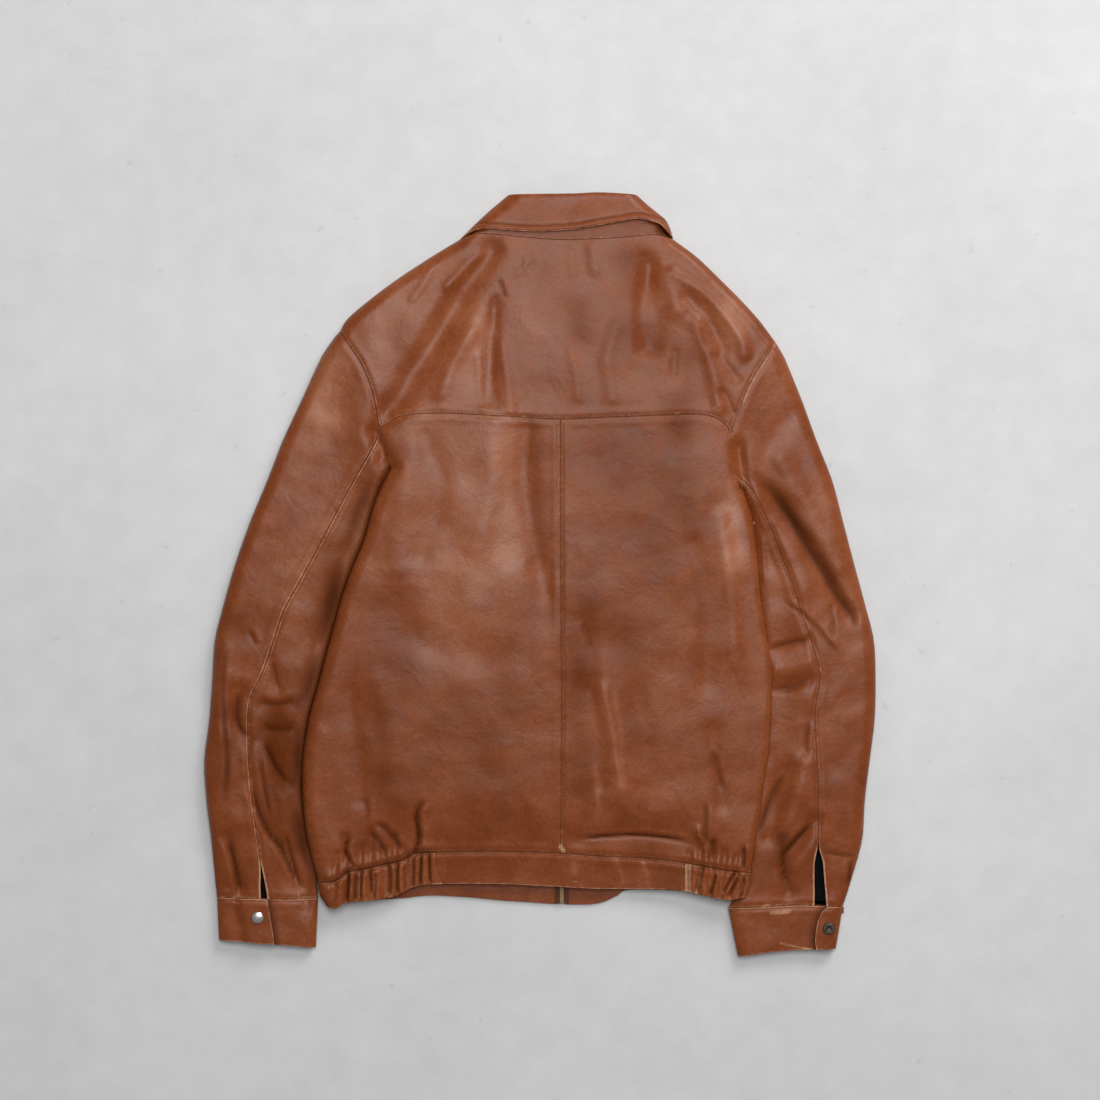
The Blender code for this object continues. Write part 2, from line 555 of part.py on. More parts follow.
def make_fronts(leather):
    """The two fronts, under the back, up to the zip."""
    c = CURVES
    for side, sign in (("LEFT", -1), ("RIGHT", 1)):
        top = joined(c[f"SHOULDER_{side}"][::-1], c[f"FRONT_NECK_{side}"])
        edge = joined(c[f"FRONT_ARMHOLE_{side}"], c[f"SIDE_{side}"])
        zip_edge = ZIP_X + sign * FRONT_GAP
        centre = even(np.array([(zip_edge, 266.0), (zip_edge, -306.0)]))
        whole_hem = c["FRONT_HEM"]
        middle = fraction(whole_hem, (zip_edge, -306))
        hem = stretch(whole_hem, 0 if side == "LEFT" else 1, middle)
        hem[-1] = centre[-1]
        top[-1] = centre[0]
        plan = patch(top, hem, edge, centre)
        armpit = fraction(edge, SIDE_LEFT[0] if side == "LEFT" else SIDE_RIGHT[0])
        rows = runs(0.0001, (0.003, 1), (0.012, 1), (0.024, 1), (armpit, 3), (armpit + 0.1, 3),
                    (1 - SEAM / FRONT_LENGTH, 5))
        columns = side_packed(BODY_WIDTH, 10, 4, 0.06, end_gap=0.1)
        outer = lay(plan, body_bottom, rows, columns)
        limit = body_side(outer[..., :2]) - SEAM
        outer[..., 2] = np.minimum(outer[..., 2], limit)
        sheet(f"front_{side.lower()}", outer, LEATHER, leather, -1 if side == "RIGHT" else 1)


def sleeve_plans(side):
    """The sleeve's upper and under faces in plan; u runs from the inner edge to the outer edge."""
    c = CURVES
    wrist = c[f"WRIST_{side}"]
    inner, outer = c[f"INNER_{side}"], c[f"OUTER_{side}"]
    over = tapered(c[f"ARMHOLE_{side}"][::-1], wrist, inner, outer)
    under = tapered(c[f"FRONT_ARMHOLE_{side}"][::-1], wrist, inner, outer)
    return over, under


def tapered(head, end, inner, outer):
    """A sleeve's face: straight across between its edges, the armhole's bend fading out soon below it."""
    def bend(line, u):
        return at(line, u) - ((1 - u)[..., None] * line[0] + u[..., None] * line[-1])

    def point(u, v):
        u, v = np.broadcast_arrays(u, v)
        straight = (1 - u)[..., None] * at(inner, v) + u[..., None] * at(outer, v)
        return straight + ((1 - v) ** HEAD_FADE)[..., None] * bend(head, u) + v[..., None] * bend(end, u)
    return point


def seam_fractions(side, rows):
    """Where the back seam crosses each row of the sleeve's upper face, as a fraction of its width."""
    over, _ = sleeve_plans(side)
    u = np.linspace(0, 1, 101)
    line = CURVES[f"BACK_SEAM_{side}"]
    found = []
    for v in rows.ravel():
        places = over(u, np.full_like(u, v))
        gap = distance(places, [line])
        found.append(u[np.argmin(gap)])
    smoothed = np.convolve(np.pad(found, 1, mode="edge"), [0.25, 0.5, 0.25], mode="valid")
    smoothed[0] = found[0]
    return smoothed[:, None]


def make_sleeve(side, leather):
    """Upper and under sleeve, sewn along the back seam, open above the cuff as a vent."""
    over, under = sleeve_plans(side)
    rows = runs(1.1 / SLEEVE_LENGTH, (0.22, 6), (0.86, 7), (1 - SEAM / SLEEVE_LENGTH, 3))
    seam = seam_fractions(side, rows)
    width = SLEEVE_WIDTH
    open_gap = VENT_LEFT_GAP if side == "LEFT" else VENT_RIGHT_GAP
    share = VENT / SLEEVE_RUN
    slanting = 1 + 8 * (1 - rows) ** HEAD_FADE
    gap = SEAM * slanting + open_gap / 2 * ease((rows - (1 - share)) / share)
    front_seam = np.full_like(rows, FRONT_SEAM_LEFT if side == "LEFT" else FRONT_SEAM_RIGHT)
    for name, edge, sign in (("upper", 1, 1), ("under", 0, -1)):
        start = np.clip(seam + sign * gap / width, 0.02, 0.98)
        finish = front_seam + sign * SEAM / width
        top = toward_edge(start, edge, 7 if name == "upper" else 4, 3, EDGE / width)
        bottom = toward_edge(finish, edge, 3, 3, EDGE / width)[::-1][1:]
        upper = np.concatenate(top, axis=1)
        lower = np.concatenate(bottom, axis=1)
        v_top, v_low = np.broadcast_to(rows, upper.shape), np.broadcast_to(rows, lower.shape)
        p, q = over(upper, v_top), under(lower, v_low)
        outer = np.concatenate([
            np.concatenate([p, sleeve_top(p, side)[..., None]], axis=-1),
            np.concatenate([q, sleeve_bottom(q, side)[..., None]], axis=-1)], axis=1)
        outward = sign if side == "LEFT" else -sign
        sheet(f"sleeve_{side.lower()}_{name}", outer, LEATHER, leather, outward)


def make_cuff(side, leather):
    """A cuff: one strip round the wrist whose outer end laps over the inner end."""
    c = CURVES
    plan = patch(c[f"WRIST_{side}"], c[f"CUFF_END_{side}"], c[f"CUFF_INNER_{side}"], c[f"CUFF_OUTER_{side}"])
    width = CUFF_WIDTH
    rows = runs((CUFF_GAP_LEFT if side == "LEFT" else CUFF_GAP_RIGHT) / CUFF_LENGTH, (1.0, 3))
    tab = np.array(TAB_LEFT if side == "LEFT" else TAB_RIGHT, float)
    inner_x = at(c[f"CUFF_INNER_{side}"], rows.ravel())[:, 0]
    outer_x = at(c[f"CUFF_OUTER_{side}"], rows.ravel())[:, 0]
    tab_x = tab[0] + (tab[1] - tab[0]) * rows.ravel()
    start = ((tab_x - inner_x) / (outer_x - inner_x))[:, None]
    end = start + LAP / width
    share = CUFF_EDGE / width
    outer_run = np.concatenate(toward_edge(start, 1, 6, 4, share), axis=1)
    under_run = np.concatenate(toward_edge(np.full_like(start, 0.5), 1, 3, 4, share)[::-1][1:]
                               + toward_edge(np.full_like(start, 0.5), 0, 3, 4, share)[1:], axis=1)
    inner_run = np.concatenate(toward_edge(end, 0, 7, 4, share)[::-1][1:], axis=1)
    lines = sleeve_lines(side)

    def place(u, upper, lapped):
        points = plan(u, np.broadcast_to(rows, u.shape))
        d = distance(points, lines)
        if not upper:
            z = SLEEVE_MIDDLE * (1 - rounded(d, CUFF_EDGE))
        else:
            low = sleeve_top(points, side)
            across = np.abs(u - start) * width
            over = (BAND + CLEAR) * (1 - ease((across - LAP - 3) / 12))
            z = low + (CUFF_PROUD + (over if lapped else 0)) * rounded(d, CUFF_EDGE)
        return np.concatenate([points, z[..., None]], axis=-1)

    outer = np.concatenate([place(outer_run, True, True), place(under_run, False, False),
                            place(inner_run, True, False)], axis=1)
    sheet(f"cuff_{side.lower()}", outer, BAND, leather, 1 if side == "LEFT" else -1)


def make_vent_lining(side, lining):
    """The dark facing seen through the open seam above the cuff."""
    x, y = VENT_LINING_LEFT if side == "LEFT" else VENT_LINING_RIGHT
    u = np.linspace(-VENT_LINING_HALF, VENT_LINING_HALF, 5)
    v = np.linspace(VENT_LINING_TOP, -VENT_LINING_LOW, 5)
    grid = np.array([[(x + a, y + b) for a in u] for b in v], float)
    below = LEATHER + CLEAR + (VENT_BELOW_LEFT if side == "LEFT" else VENT_BELOW_RIGHT)
    z = sleeve_top(grid, side) - below
    sheet(f"vent_lining_{side.lower()}", np.concatenate([grid, z[..., None]], axis=-1), TAPE, lining, -1)


def make_snap(side, metal):
    """A snap's cap, turned: domed on the left cuff, worn down to its socket on the right."""
    x, y = SNAP_LEFT if side == "LEFT" else SNAP_RIGHT
    r = SNAP / 2
    seat = np.array([[(x + r * math.cos(a), y + r * math.sin(a)) for a in np.linspace(0, 2 * math.pi, 12)]])
    z = float(sleeve_top(seat, side).max()) + BAND + CLEAR + CUFF_PROUD + CLEAR
    if side == "LEFT":
        profile = [(0, 2.3), (r * 0.45, 2.1), (r * 0.8, 1.4), (r, 0.6), (r, 0.15), (r * 0.9, 0), (0, 0)]
    else:
        profile = [(0, 0.7), (r * 0.35, 0.7), (r * 0.5, 1.5), (r * 0.8, 1.6), (r, 0.8), (r * 0.95, 0), (0, 0)]
    mesh = bpy.data.meshes.new(f"snap_{side.lower()}")
    work = bmesh.new()
    loop = [work.verts.new((a * MM, 0, b * MM)) for a, b in profile]
    edges = [work.edges.new(pair) for pair in zip(loop, loop[1:])]
    bmesh.ops.spin(work, geom=loop + edges, cent=(0, 0, 0), axis=(0, 0, 1), angle=2 * math.pi, steps=20)
    bmesh.ops.remove_doubles(work, verts=work.verts, dist=1e-6)
    bmesh.ops.triangulate(work, faces=work.faces)
    if work.calc_volume(signed=True) < 0:
        bmesh.ops.reverse_faces(work, faces=work.faces)
    work.to_mesh(mesh)
    work.free()
    cap = add(f"snap_{side.lower()}", mesh, metal)
    cap.location = (x * MM, y * MM, z * MM)


def front_band(side, elastic):
    """Plan of one front's band, from the side to the zip, and where its elastic ends."""
    c = CURVES
    sign = -1 if side == "LEFT" else 1
    first = 0 if side == "LEFT" else 1
    zip_edge = ZIP_X + sign * FRONT_GAP
    top = stretch(c["FRONT_HEM"], first, fraction(c["FRONT_HEM"], (zip_edge, -306)))
    low = stretch(c["FRONT_EDGE"], first, fraction(c["FRONT_EDGE"], (zip_edge, -340)))
    top[-1, 0] = low[-1, 0] = zip_edge
    plan = patch(top, low, c[f"BAND_SIDE_{side}"], even(np.array([top[-1], low[-1]])))
    return plan, fraction(top, (elastic, -303))


def make_hem(leather, worn):
    """The hem band: elastic at both sides, plain at the middle of the back and at both fronts."""
    c = CURVES
    over = patch(c["BACK_HEM"], c["BACK_EDGE"], c["BAND_SIDE_LEFT"], c["BAND_SIDE_RIGHT"])
    rows = runs(0.8 / BAND_WIDTH, (1.0, 3))
    total = BAND_LENGTH
    left = fraction(c["BACK_HEM"], (ELASTIC_LEFT_END, -285))
    right = fraction(c["BACK_HEM"], (ELASTIC_RIGHT_END, -295))
    gap = 0.3 / total

    def run(plan, height, u):
        u = np.broadcast_to(np.asarray(u)[None, :], (len(rows), len(u)))
        points = plan(u, np.broadcast_to(rows, u.shape))
        return np.concatenate([points, height(points)[..., None]], axis=-1)

    centre = run(over, body_top, np.linspace(left + gap, right - gap, 22))
    sheet("hem_back", centre, BAND, leather, -1)
    one = np.array([1.0])
    for side, edge, top_end, elastic, steps in (("LEFT", 0, left - gap, FRONT_ELASTIC_LEFT, 36),
                                                ("RIGHT", 1, right + gap, FRONT_ELASTIC_RIGHT, 22)):
        under, elastic_end = front_band(side, elastic)
        name = f"hem_front_{side.lower()}"
        plain = np.linspace(elastic_end + 2 * gap, 1.0, 10)
        sheet(name, run(under, body_bottom, plain), BAND, leather, 1 if edge == 0 else -1)
        top = np.ravel(toward_edge(top_end * one, edge, steps, 4, EDGE / total))
        low = np.ravel(toward_edge((elastic_end - 2 * gap) * one, 0, 6, 4, 2 * EDGE / total)[::-1][1:])
        outer = np.concatenate([run(over, body_top, top), run(under, body_bottom, low)], axis=1)
        sheet(f"hem_side_{side.lower()}", outer, BAND, worn, 1 if edge == 0 else -1)


def collar_height(points, fold, slopes, below):
    """Height of the collar's outer face on the back, lower than the leaf's by the amount given."""
    d = distance(points, slopes)
    from_fold = distance(points, [fold])
    crown = COLLAR_CROWN + COLLAR_RISE * ease(from_fold / 40) - below
    crown = crown - FOLD_ROLL * (1 - rounded(from_fold, 5)) * (below == 0)
    return SIDE_MIDDLE + (crown - SIDE_MIDDLE) * rounded(d, EDGE - below)


def collar_under(points, slopes, lift):
    """Height of the collar's outer face on the front side, which faces the floor."""
    d = distance(points, slopes)
    return lift + (SIDE_MIDDLE - lift) * (1 - rounded(d, 10))


def collar_piece(name, parts, slopes, below, lift, rows, wall, material):
    """One layer of the collar, round from the left front over the back to the right front."""
    back, front_left, front_right, fold = parts
    one = np.array([1.0])
    share = EDGE / COLLAR_LENGTH
    near = EDGE / COLLAR_FRONT

    def run(plan, height, u):
        u = np.broadcast_to(np.ravel(u)[None, :], (len(rows), np.size(u)))
        points = plan(u, np.broadcast_to(rows, u.shape))
        return np.concatenate([points, height(points)[..., None]], axis=-1)

    def top(points):
        return collar_height(points, fold, slopes, below)

    def low(points):
        return collar_under(points, slopes, lift)

    left = toward_edge(one, 0, 4, 4, near)[:-1]
    right = toward_edge(one, 0, 4, 4, near)[::-1][1:]
    half = toward_edge(0.5 * one, 0, 8, 4, share)[::-1]
    other = toward_edge(0.5 * one, 1, 8, 4, share)[1:]
    outer = np.concatenate([run(front_left, low, left), run(back, top, half + other),
                            run(front_right, low, right)], axis=1)
    sheet(name, outer, wall, material, -1)


def make_collar(leather):
    """The collar: a stand sewn to the neck, and the leaf folded down over it."""
    c = CURVES
    fold = c["COLLAR_FOLD"]
    slopes = [c["COLLAR_SLOPE_LEFT"], c["COLLAR_SLOPE_RIGHT"]]
    folds = [c["FRONT_FOLD_LEFT"], c["FRONT_FOLD_RIGHT"]]

    def ending(a, b):
        return even(np.array([a, b], float))

    back = patch(fold, c["LEAF_EDGE"], *slopes)
    left = patch(folds[0], c["FRONT_LEAF_LEFT"], slopes[0], ending(FRONT_FOLD_LEFT[-1], FRONT_LEAF_LEFT[-1]))
    right = patch(folds[1], c["FRONT_LEAF_RIGHT"], slopes[1],
                  ending(FRONT_FOLD_RIGHT[-1], FRONT_LEAF_RIGHT[-1]))
    rows = runs(0.0, (0.04, 1), (0.12, 1), (1.0, 4))
    collar_piece("collar_leaf", (back, left, right, fold), slopes, 0.0, 0.0, rows, LEATHER, leather)

    fold = c["STAND_FOLD"]
    slopes = [c["STAND_SLOPE_LEFT"], c["STAND_SLOPE_RIGHT"]]
    folds = [c["STAND_FRONT_FOLD_LEFT"], c["STAND_FRONT_FOLD_RIGHT"]]
    necks = [c["STAND_FRONT_NECK_LEFT"], c["STAND_FRONT_NECK_RIGHT"]]
    back = patch(fold, c["STAND_NECK"], *slopes)
    left, right = [patch(folds[k], necks[k], slopes[k], ending(folds[k][-1], necks[k][-1])) for k in (0, 1)]
    rows = runs(0.0, (1 - STAND_SHORT / STAND_WIDTH, 3))
    collar_piece("collar_stand", (back, left, right, fold), slopes,
                 LEATHER + STAND_BELOW, COLLAR_LIFT, rows, LEATHER, leather)


def make_zip(tape, brass):
    """The closed zip: woven tape behind the fronts, the chain between their edges and a plain slider."""
    y = np.concatenate([np.linspace(ZIP_TOP, 4 - CHAIN_BAND, 16), np.linspace(-4 - CHAIN_BAND, ZIP_END, 4)])
    for name, half, wall, rise, material in (("zip_tape", TAPE_HALF, TAPE, None, tape),
                                             ("zip_chain", CHAIN_HALF, CHAIN_WALL, CHAIN_RISE, brass)):
        x = ZIP_X + np.linspace(-half, half, 3)
        grid = np.array([[(a, b) for a in x] for b in y])
        middle = np.stack([np.full_like(grid[..., 0], ZIP_X), grid[..., 1]], axis=-1)
        under = body_bottom(middle)
        if rise is None:
            behind = np.where(grid[..., 1] < -CHAIN_BAND, BAND, LEATHER)
            z = under + behind + CLEAR
        else:
            z = under + rise
        sheet(name, np.concatenate([grid, z[..., None]], axis=-1), wall, material, 1)
    mesh = bpy.data.meshes.new("zip_slider")
    work = bmesh.new()
    bmesh.ops.create_cube(work, size=1.0)
    bmesh.ops.scale(work, verts=work.verts, vec=[size * MM for size in SLIDER])
    bmesh.ops.bevel(work, geom=work.edges, offset=SLIDER_BEVEL * MM, segments=1, affect="EDGES")
    bmesh.ops.triangulate(work, faces=work.faces)
    work.to_mesh(mesh)
    work.free()
    slider = add("zip_slider", mesh, brass)
    slider_z = COLLAR_LIFT + CHAIN_RISE - SLIDER_LOW - SLIDER[2] / 2
    slider.location = (ZIP_X * MM, SLIDER_Y * MM, slider_z * MM)


def build():
    """Every piece of the jacket."""
    for thing in list(bpy.data.objects):
        bpy.data.objects.remove(thing)
    leather = paint("leather", (0.29, 0.09, 0.04), 0.42)
    worn = paint("worn_leather", (0.36, 0.14, 0.07), 0.5)
    lining = paint("lining", (0.02, 0.02, 0.022), 0.8)
    tape = paint("zip_tape", (0.16, 0.07, 0.035), 0.85)
    brass = paint("zip_metal", (0.55, 0.42, 0.26), 0.4, 1.0)
    steel = paint("snap_steel", (0.75, 0.74, 0.72), 0.25, 1.0)
    dark = paint("snap_dark", (0.05, 0.045, 0.04), 0.5, 1.0)
    make_yoke(leather)
    make_backs(leather)
    make_fronts(leather)
    for side in ("LEFT", "RIGHT"):
        make_sleeve(side, leather)
        make_cuff(side, leather)
        make_vent_lining(side, lining)
    make_snap("LEFT", steel)
    make_snap("RIGHT", dark)
    make_hem(leather, worn)
    make_collar(leather)
    make_zip(tape, brass)


build()
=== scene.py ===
"""Worn leather jacket lying face down on a pale floor, seen from straight above."""
import sys
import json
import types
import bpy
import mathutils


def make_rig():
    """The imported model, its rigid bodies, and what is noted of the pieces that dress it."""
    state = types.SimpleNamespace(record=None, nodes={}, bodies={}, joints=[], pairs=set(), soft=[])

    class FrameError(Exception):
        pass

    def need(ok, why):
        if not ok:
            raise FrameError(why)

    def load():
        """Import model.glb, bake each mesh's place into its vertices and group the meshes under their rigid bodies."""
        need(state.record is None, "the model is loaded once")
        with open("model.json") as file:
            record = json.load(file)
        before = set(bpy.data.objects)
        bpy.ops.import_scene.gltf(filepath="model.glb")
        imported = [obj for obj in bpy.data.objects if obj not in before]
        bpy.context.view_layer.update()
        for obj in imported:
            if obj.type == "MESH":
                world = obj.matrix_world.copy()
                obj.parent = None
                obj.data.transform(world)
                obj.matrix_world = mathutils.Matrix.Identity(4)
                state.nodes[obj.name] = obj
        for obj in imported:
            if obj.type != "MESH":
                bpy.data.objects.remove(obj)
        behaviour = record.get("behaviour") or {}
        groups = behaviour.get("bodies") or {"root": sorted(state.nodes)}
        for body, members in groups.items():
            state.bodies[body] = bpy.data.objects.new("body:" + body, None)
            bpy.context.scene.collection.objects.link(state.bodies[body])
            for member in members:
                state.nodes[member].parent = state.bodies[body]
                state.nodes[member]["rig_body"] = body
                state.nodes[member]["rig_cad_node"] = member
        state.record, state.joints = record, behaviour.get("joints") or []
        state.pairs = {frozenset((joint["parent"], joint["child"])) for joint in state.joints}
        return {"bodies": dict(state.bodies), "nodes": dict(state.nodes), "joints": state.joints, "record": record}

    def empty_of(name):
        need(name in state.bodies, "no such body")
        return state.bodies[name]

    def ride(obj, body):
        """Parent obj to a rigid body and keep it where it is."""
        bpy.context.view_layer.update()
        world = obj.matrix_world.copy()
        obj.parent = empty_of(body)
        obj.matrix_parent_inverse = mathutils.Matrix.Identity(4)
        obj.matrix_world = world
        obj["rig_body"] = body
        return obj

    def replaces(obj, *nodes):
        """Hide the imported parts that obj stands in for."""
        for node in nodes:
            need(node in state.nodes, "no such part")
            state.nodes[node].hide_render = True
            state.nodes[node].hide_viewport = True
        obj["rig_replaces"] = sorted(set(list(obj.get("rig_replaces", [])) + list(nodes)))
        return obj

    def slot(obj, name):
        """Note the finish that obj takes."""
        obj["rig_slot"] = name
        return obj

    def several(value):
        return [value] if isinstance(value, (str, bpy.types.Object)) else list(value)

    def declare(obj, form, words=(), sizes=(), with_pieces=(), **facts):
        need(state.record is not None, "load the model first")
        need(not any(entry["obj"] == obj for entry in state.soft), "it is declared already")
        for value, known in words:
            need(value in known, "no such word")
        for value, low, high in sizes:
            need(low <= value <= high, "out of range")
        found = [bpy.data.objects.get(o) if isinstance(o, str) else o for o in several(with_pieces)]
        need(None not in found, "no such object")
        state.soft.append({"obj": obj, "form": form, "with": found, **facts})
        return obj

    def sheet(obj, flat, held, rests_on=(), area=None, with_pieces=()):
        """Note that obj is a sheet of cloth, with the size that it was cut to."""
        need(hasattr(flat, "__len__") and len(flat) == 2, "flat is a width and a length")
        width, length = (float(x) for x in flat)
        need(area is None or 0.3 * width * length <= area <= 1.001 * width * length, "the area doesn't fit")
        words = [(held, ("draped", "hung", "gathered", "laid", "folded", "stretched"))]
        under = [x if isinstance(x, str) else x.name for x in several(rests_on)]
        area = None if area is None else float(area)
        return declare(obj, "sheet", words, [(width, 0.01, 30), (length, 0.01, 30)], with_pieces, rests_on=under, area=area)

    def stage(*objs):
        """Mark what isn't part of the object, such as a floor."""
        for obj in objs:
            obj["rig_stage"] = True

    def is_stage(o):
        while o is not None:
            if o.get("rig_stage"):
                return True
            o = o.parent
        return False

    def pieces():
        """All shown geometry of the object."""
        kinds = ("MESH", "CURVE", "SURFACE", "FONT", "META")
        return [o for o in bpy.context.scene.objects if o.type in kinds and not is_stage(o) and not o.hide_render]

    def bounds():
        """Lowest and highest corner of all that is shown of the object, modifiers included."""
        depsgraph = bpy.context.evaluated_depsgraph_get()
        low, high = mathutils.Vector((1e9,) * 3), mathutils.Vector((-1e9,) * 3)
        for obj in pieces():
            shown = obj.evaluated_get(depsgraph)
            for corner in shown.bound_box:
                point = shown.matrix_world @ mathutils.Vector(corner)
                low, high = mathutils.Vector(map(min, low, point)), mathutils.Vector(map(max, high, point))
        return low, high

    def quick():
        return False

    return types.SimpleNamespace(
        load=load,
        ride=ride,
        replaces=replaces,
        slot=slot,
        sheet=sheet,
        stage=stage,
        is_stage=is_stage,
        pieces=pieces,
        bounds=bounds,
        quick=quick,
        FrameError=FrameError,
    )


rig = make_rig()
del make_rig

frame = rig.load()
cad_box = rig.bounds()

import json
import math

import bpy
import numpy as np
from mathutils import Vector

COARSE = 1.7 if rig.quick() else 1.0

MM = 0.001

# Driving dimensions
LEATHER = 1.6          # shell leather with its lining
BAND = 2.6             # doubled leather of the hem band and the cuffs
TAPE = 0.8             # woven tape and thin lining
SEAM = 0.2             # each piece stops this far short of its seam line
CLEAR = 0.35           # between pieces that lie on each other
BODY_HEIGHT = 23.0     # back above the floor
SLEEVE_HEIGHT = 18.0   # sleeve above the floor, below the armhole
TUCKED_HEIGHT = 13.4   # right sleeve where the body lies on it
CUFF_HEIGHT = 12.0
HEM_DROP = 11.0        # the plain middle of the hem lies this much lower than the back
EDGE = 14.0            # width over which a folded edge rounds down
SIDE_MIDDLE = 10.0     # height of a folded edge's middle
SLEEVE_MIDDLE = 7.0
LEFT_RISE = 3.0        # how much higher the body's left edge is carried
RIGHT_RISE = 8.6       # the body's right edge, carried on the sleeve
SLEEVE_LIFT = 15.4     # underside of the front where it crosses the right sleeve
TUCK_SHARPER = 6.0     # the body's right edge rounds down over this much less width
COLLAR_LIFT = 2.1      # the front lies on the collar's points by this much
UNDER_EDGE = 12.0      # width over which a folded edge rounds down to the floor
TUCK_FLATTER = 7.5     # and how much less that is where the body lies on the sleeve
CUFF_EDGE = 11.0       # the same for the cuffs
CUFF_PROUD = 0.4       # a cuff's outer face stands this far above the sleeve's
ZIP_X = 22.5           # centre front

# Sizes of the pieces, used to share out their rows and columns
BODY_WIDTH = 215.0
BACK_LENGTH = 447.0
YOKE_WIDTH = 460.0
YOKE_LENGTH = 150.0
FRONT_LENGTH = 600.0
SLEEVE_WIDTH = 110.0
SLEEVE_LENGTH = 500.0
SLEEVE_RUN = 560.0           # along its outer edge
FRONT_SEAM_LEFT = 0.55       # where the seam under a sleeve lies: a share of its width from the inner edge
FRONT_SEAM_RIGHT = 0.30
CUFF_WIDTH = 106.0
CUFF_LENGTH = 48.0
BAND_LENGTH = 440.0
BAND_WIDTH = 34.0
COLLAR_LENGTH = 200.0
COLLAR_FRONT = 75.0

# Zip
FRONT_GAP = 3.5        # from the centre front to the edge of each front
TAPE_HALF = 7.2        # half widths of the tape and of the chain
CHAIN_RISE = 0.1       # the chain's face above the fronts' face
ZIP_TOP = 296.0
ZIP_END = -339.0
CHAIN_BAND = 300.0     # it runs behind the band from this far down
SLIDER = (8.0, 10.0, 1.5)
SLIDER_Y = 288.0
SLIDER_LOW = 0.3       # the slider's face below the chain's

# Outlines seen from above, each from its first named end to the second
SHOULDER_LEFT = [(-85, 344), (-113, 327), (-148, 304), (-176, 283), (-198, 264), (-206, 251)]
SHOULDER_RIGHT = [(138, 345), (162, 327), (186, 304), (207, 283), (226, 262), (243, 239)]
NECK = [(-85, 344), (-67, 350), (-41, 349), (-10, 346), (21, 344), (62, 345), (93, 347), (118, 349),
        (138, 345)]
ARMHOLE_LEFT = [(-206, 251), (-196, 236), (-184, 218), (-175, 198), (-169, 177), (-165, 151),
                (-159, 129), (-154, 110)]
ARMHOLE_RIGHT = [(243, 239), (230, 221), (216, 198), (206, 175), (199, 156), (194, 134), (199, 110),
                 (210, 88)]
YOKE_SEAM = [(-165, 151), (-153, 159), (-139, 164), (-113, 166), (-72, 165), (-21, 162), (21, 160),
             (72, 162), (124, 164), (162, 165), (178, 162), (190, 155), (196, 145)]
SIDE_LEFT = [(-154, 110), (-165, 88), (-174, 62), (-181, 36), (-194, 5), (-205, -26), (-216, -67),
             (-227, -108), (-238, -149), (-244, -191), (-244, -232), (-239, -273), (-228, -315)]
SIDE_RIGHT = [(210, 88), (218, 62), (221, 36), (224, 5), (227, -26), (232, -57), (237, -88),
              (238, -118), (237, -149), (235, -180), (230, -211), (226, -242), (221, -273), (216, -305)]
CENTRE_BACK = [(21, 160), (21, 15), (22, -129), (21, -286)]
BACK_HEM = [(-228, -315), (-211, -314), (-196, -304), (-180, -302), (-165, -298), (-144, -294),
            (-128, -286), (-103, -285), (-41, -284), (21, -286), (62, -289), (103, -291), (144, -295),
            (170, -299), (191, -303), (216, -305)]
BACK_EDGE = [(-219, -341), (-210, -342), (-198, -336), (-175, -334), (-149, -330), (-129, -321),
             (-103, -318), (-41, -318), (21, -321), (62, -323), (103, -323), (144, -324), (165, -328),
             (191, -333), (212, -330)]
FRONT_HEM = [(-228, -315), (-201, -310), (-144, -302), (-103, -300), (-41, -302), (23, -306),
             (82, -302), (154, -300), (216, -305)]
FRONT_EDGE = [(-219, -341), (-198, -338), (-175, -336), (-144, -334), (-113, -331), (-72, -333),
              (-41, -336), (-10, -338), (21, -340), (52, -340), (67, -337), (80, -331), (95, -325),
              (165, -327), (212, -330)]
BAND_SIDE_LEFT = [(-228, -315), (-227, -328), (-219, -341)]
BAND_SIDE_RIGHT = [(216, -305), (216, -318), (212, -330)]
FRONT_ARMHOLE_LEFT = [(-206, 251), (-154, 110)]
FRONT_ARMHOLE_RIGHT = [(243, 239), (210, 88)]
FRONT_NECK_LEFT = [(-85, 344), (-74, 318), (-50, 290), (-15, 271), (19, 266)]
FRONT_NECK_RIGHT = [(138, 345), (124, 318), (98, 290), (62, 271), (26, 266)]

OUTER_LEFT = [(-206, 251), (-215, 240), (-227, 221), (-246, 180), (-265, 139), (-281, 98), (-298, 57),
              (-313, 15), (-325, -26), (-335, -67), (-338, -108), (-341, -149), (-346, -191),
              (-344, -232), (-339, -273), (-335, -314), (-333, -332)]
OUTER_RIGHT = [(243, 239), (253, 221), (270, 180), (285, 139), (301, 98), (312, 57), (323, 15),
               (334, -26), (344, -67), (346, -108), (345, -149), (340, -191), (335, -232), (332, -273),
               (321, -314), (312, -342)]
INNER_LEFT = [(-155, 109), (-167, 88), (-176, 62), (-183, 36), (-196, 5), (-207, -26), (-218, -67),
              (-229, -108), (-240, -149), (-246, -191), (-246, -232), (-241, -273), (-231, -306),
              (-229, -333)]
INNER_RIGHT = [(212, 87), (220, 62), (223, 36), (226, 5), (229, -26), (228, -57), (229, -88),
               (230, -118), (229, -149), (227, -180), (223, -211), (219, -242), (216, -273),
               (213, -298), (206, -322), (194, -343)]
WRIST_LEFT = [(-229, -333), (-258, -334), (-299, -333), (-333, -332)]
WRIST_RIGHT = [(194, -343), (227, -342), (268, -340), (312, -342)]
BACK_SEAM_LEFT = [(-165, 151), (-170, 134), (-185, 108), (-206, 70), (-229, 26), (-247, -7),
                  (-263, -36), (-271, -59), (-277, -77), (-286, -103), (-299, -132), (-300, -180),
                  (-297, -221), (-293, -252), (-287, -299), (-284, -333)]
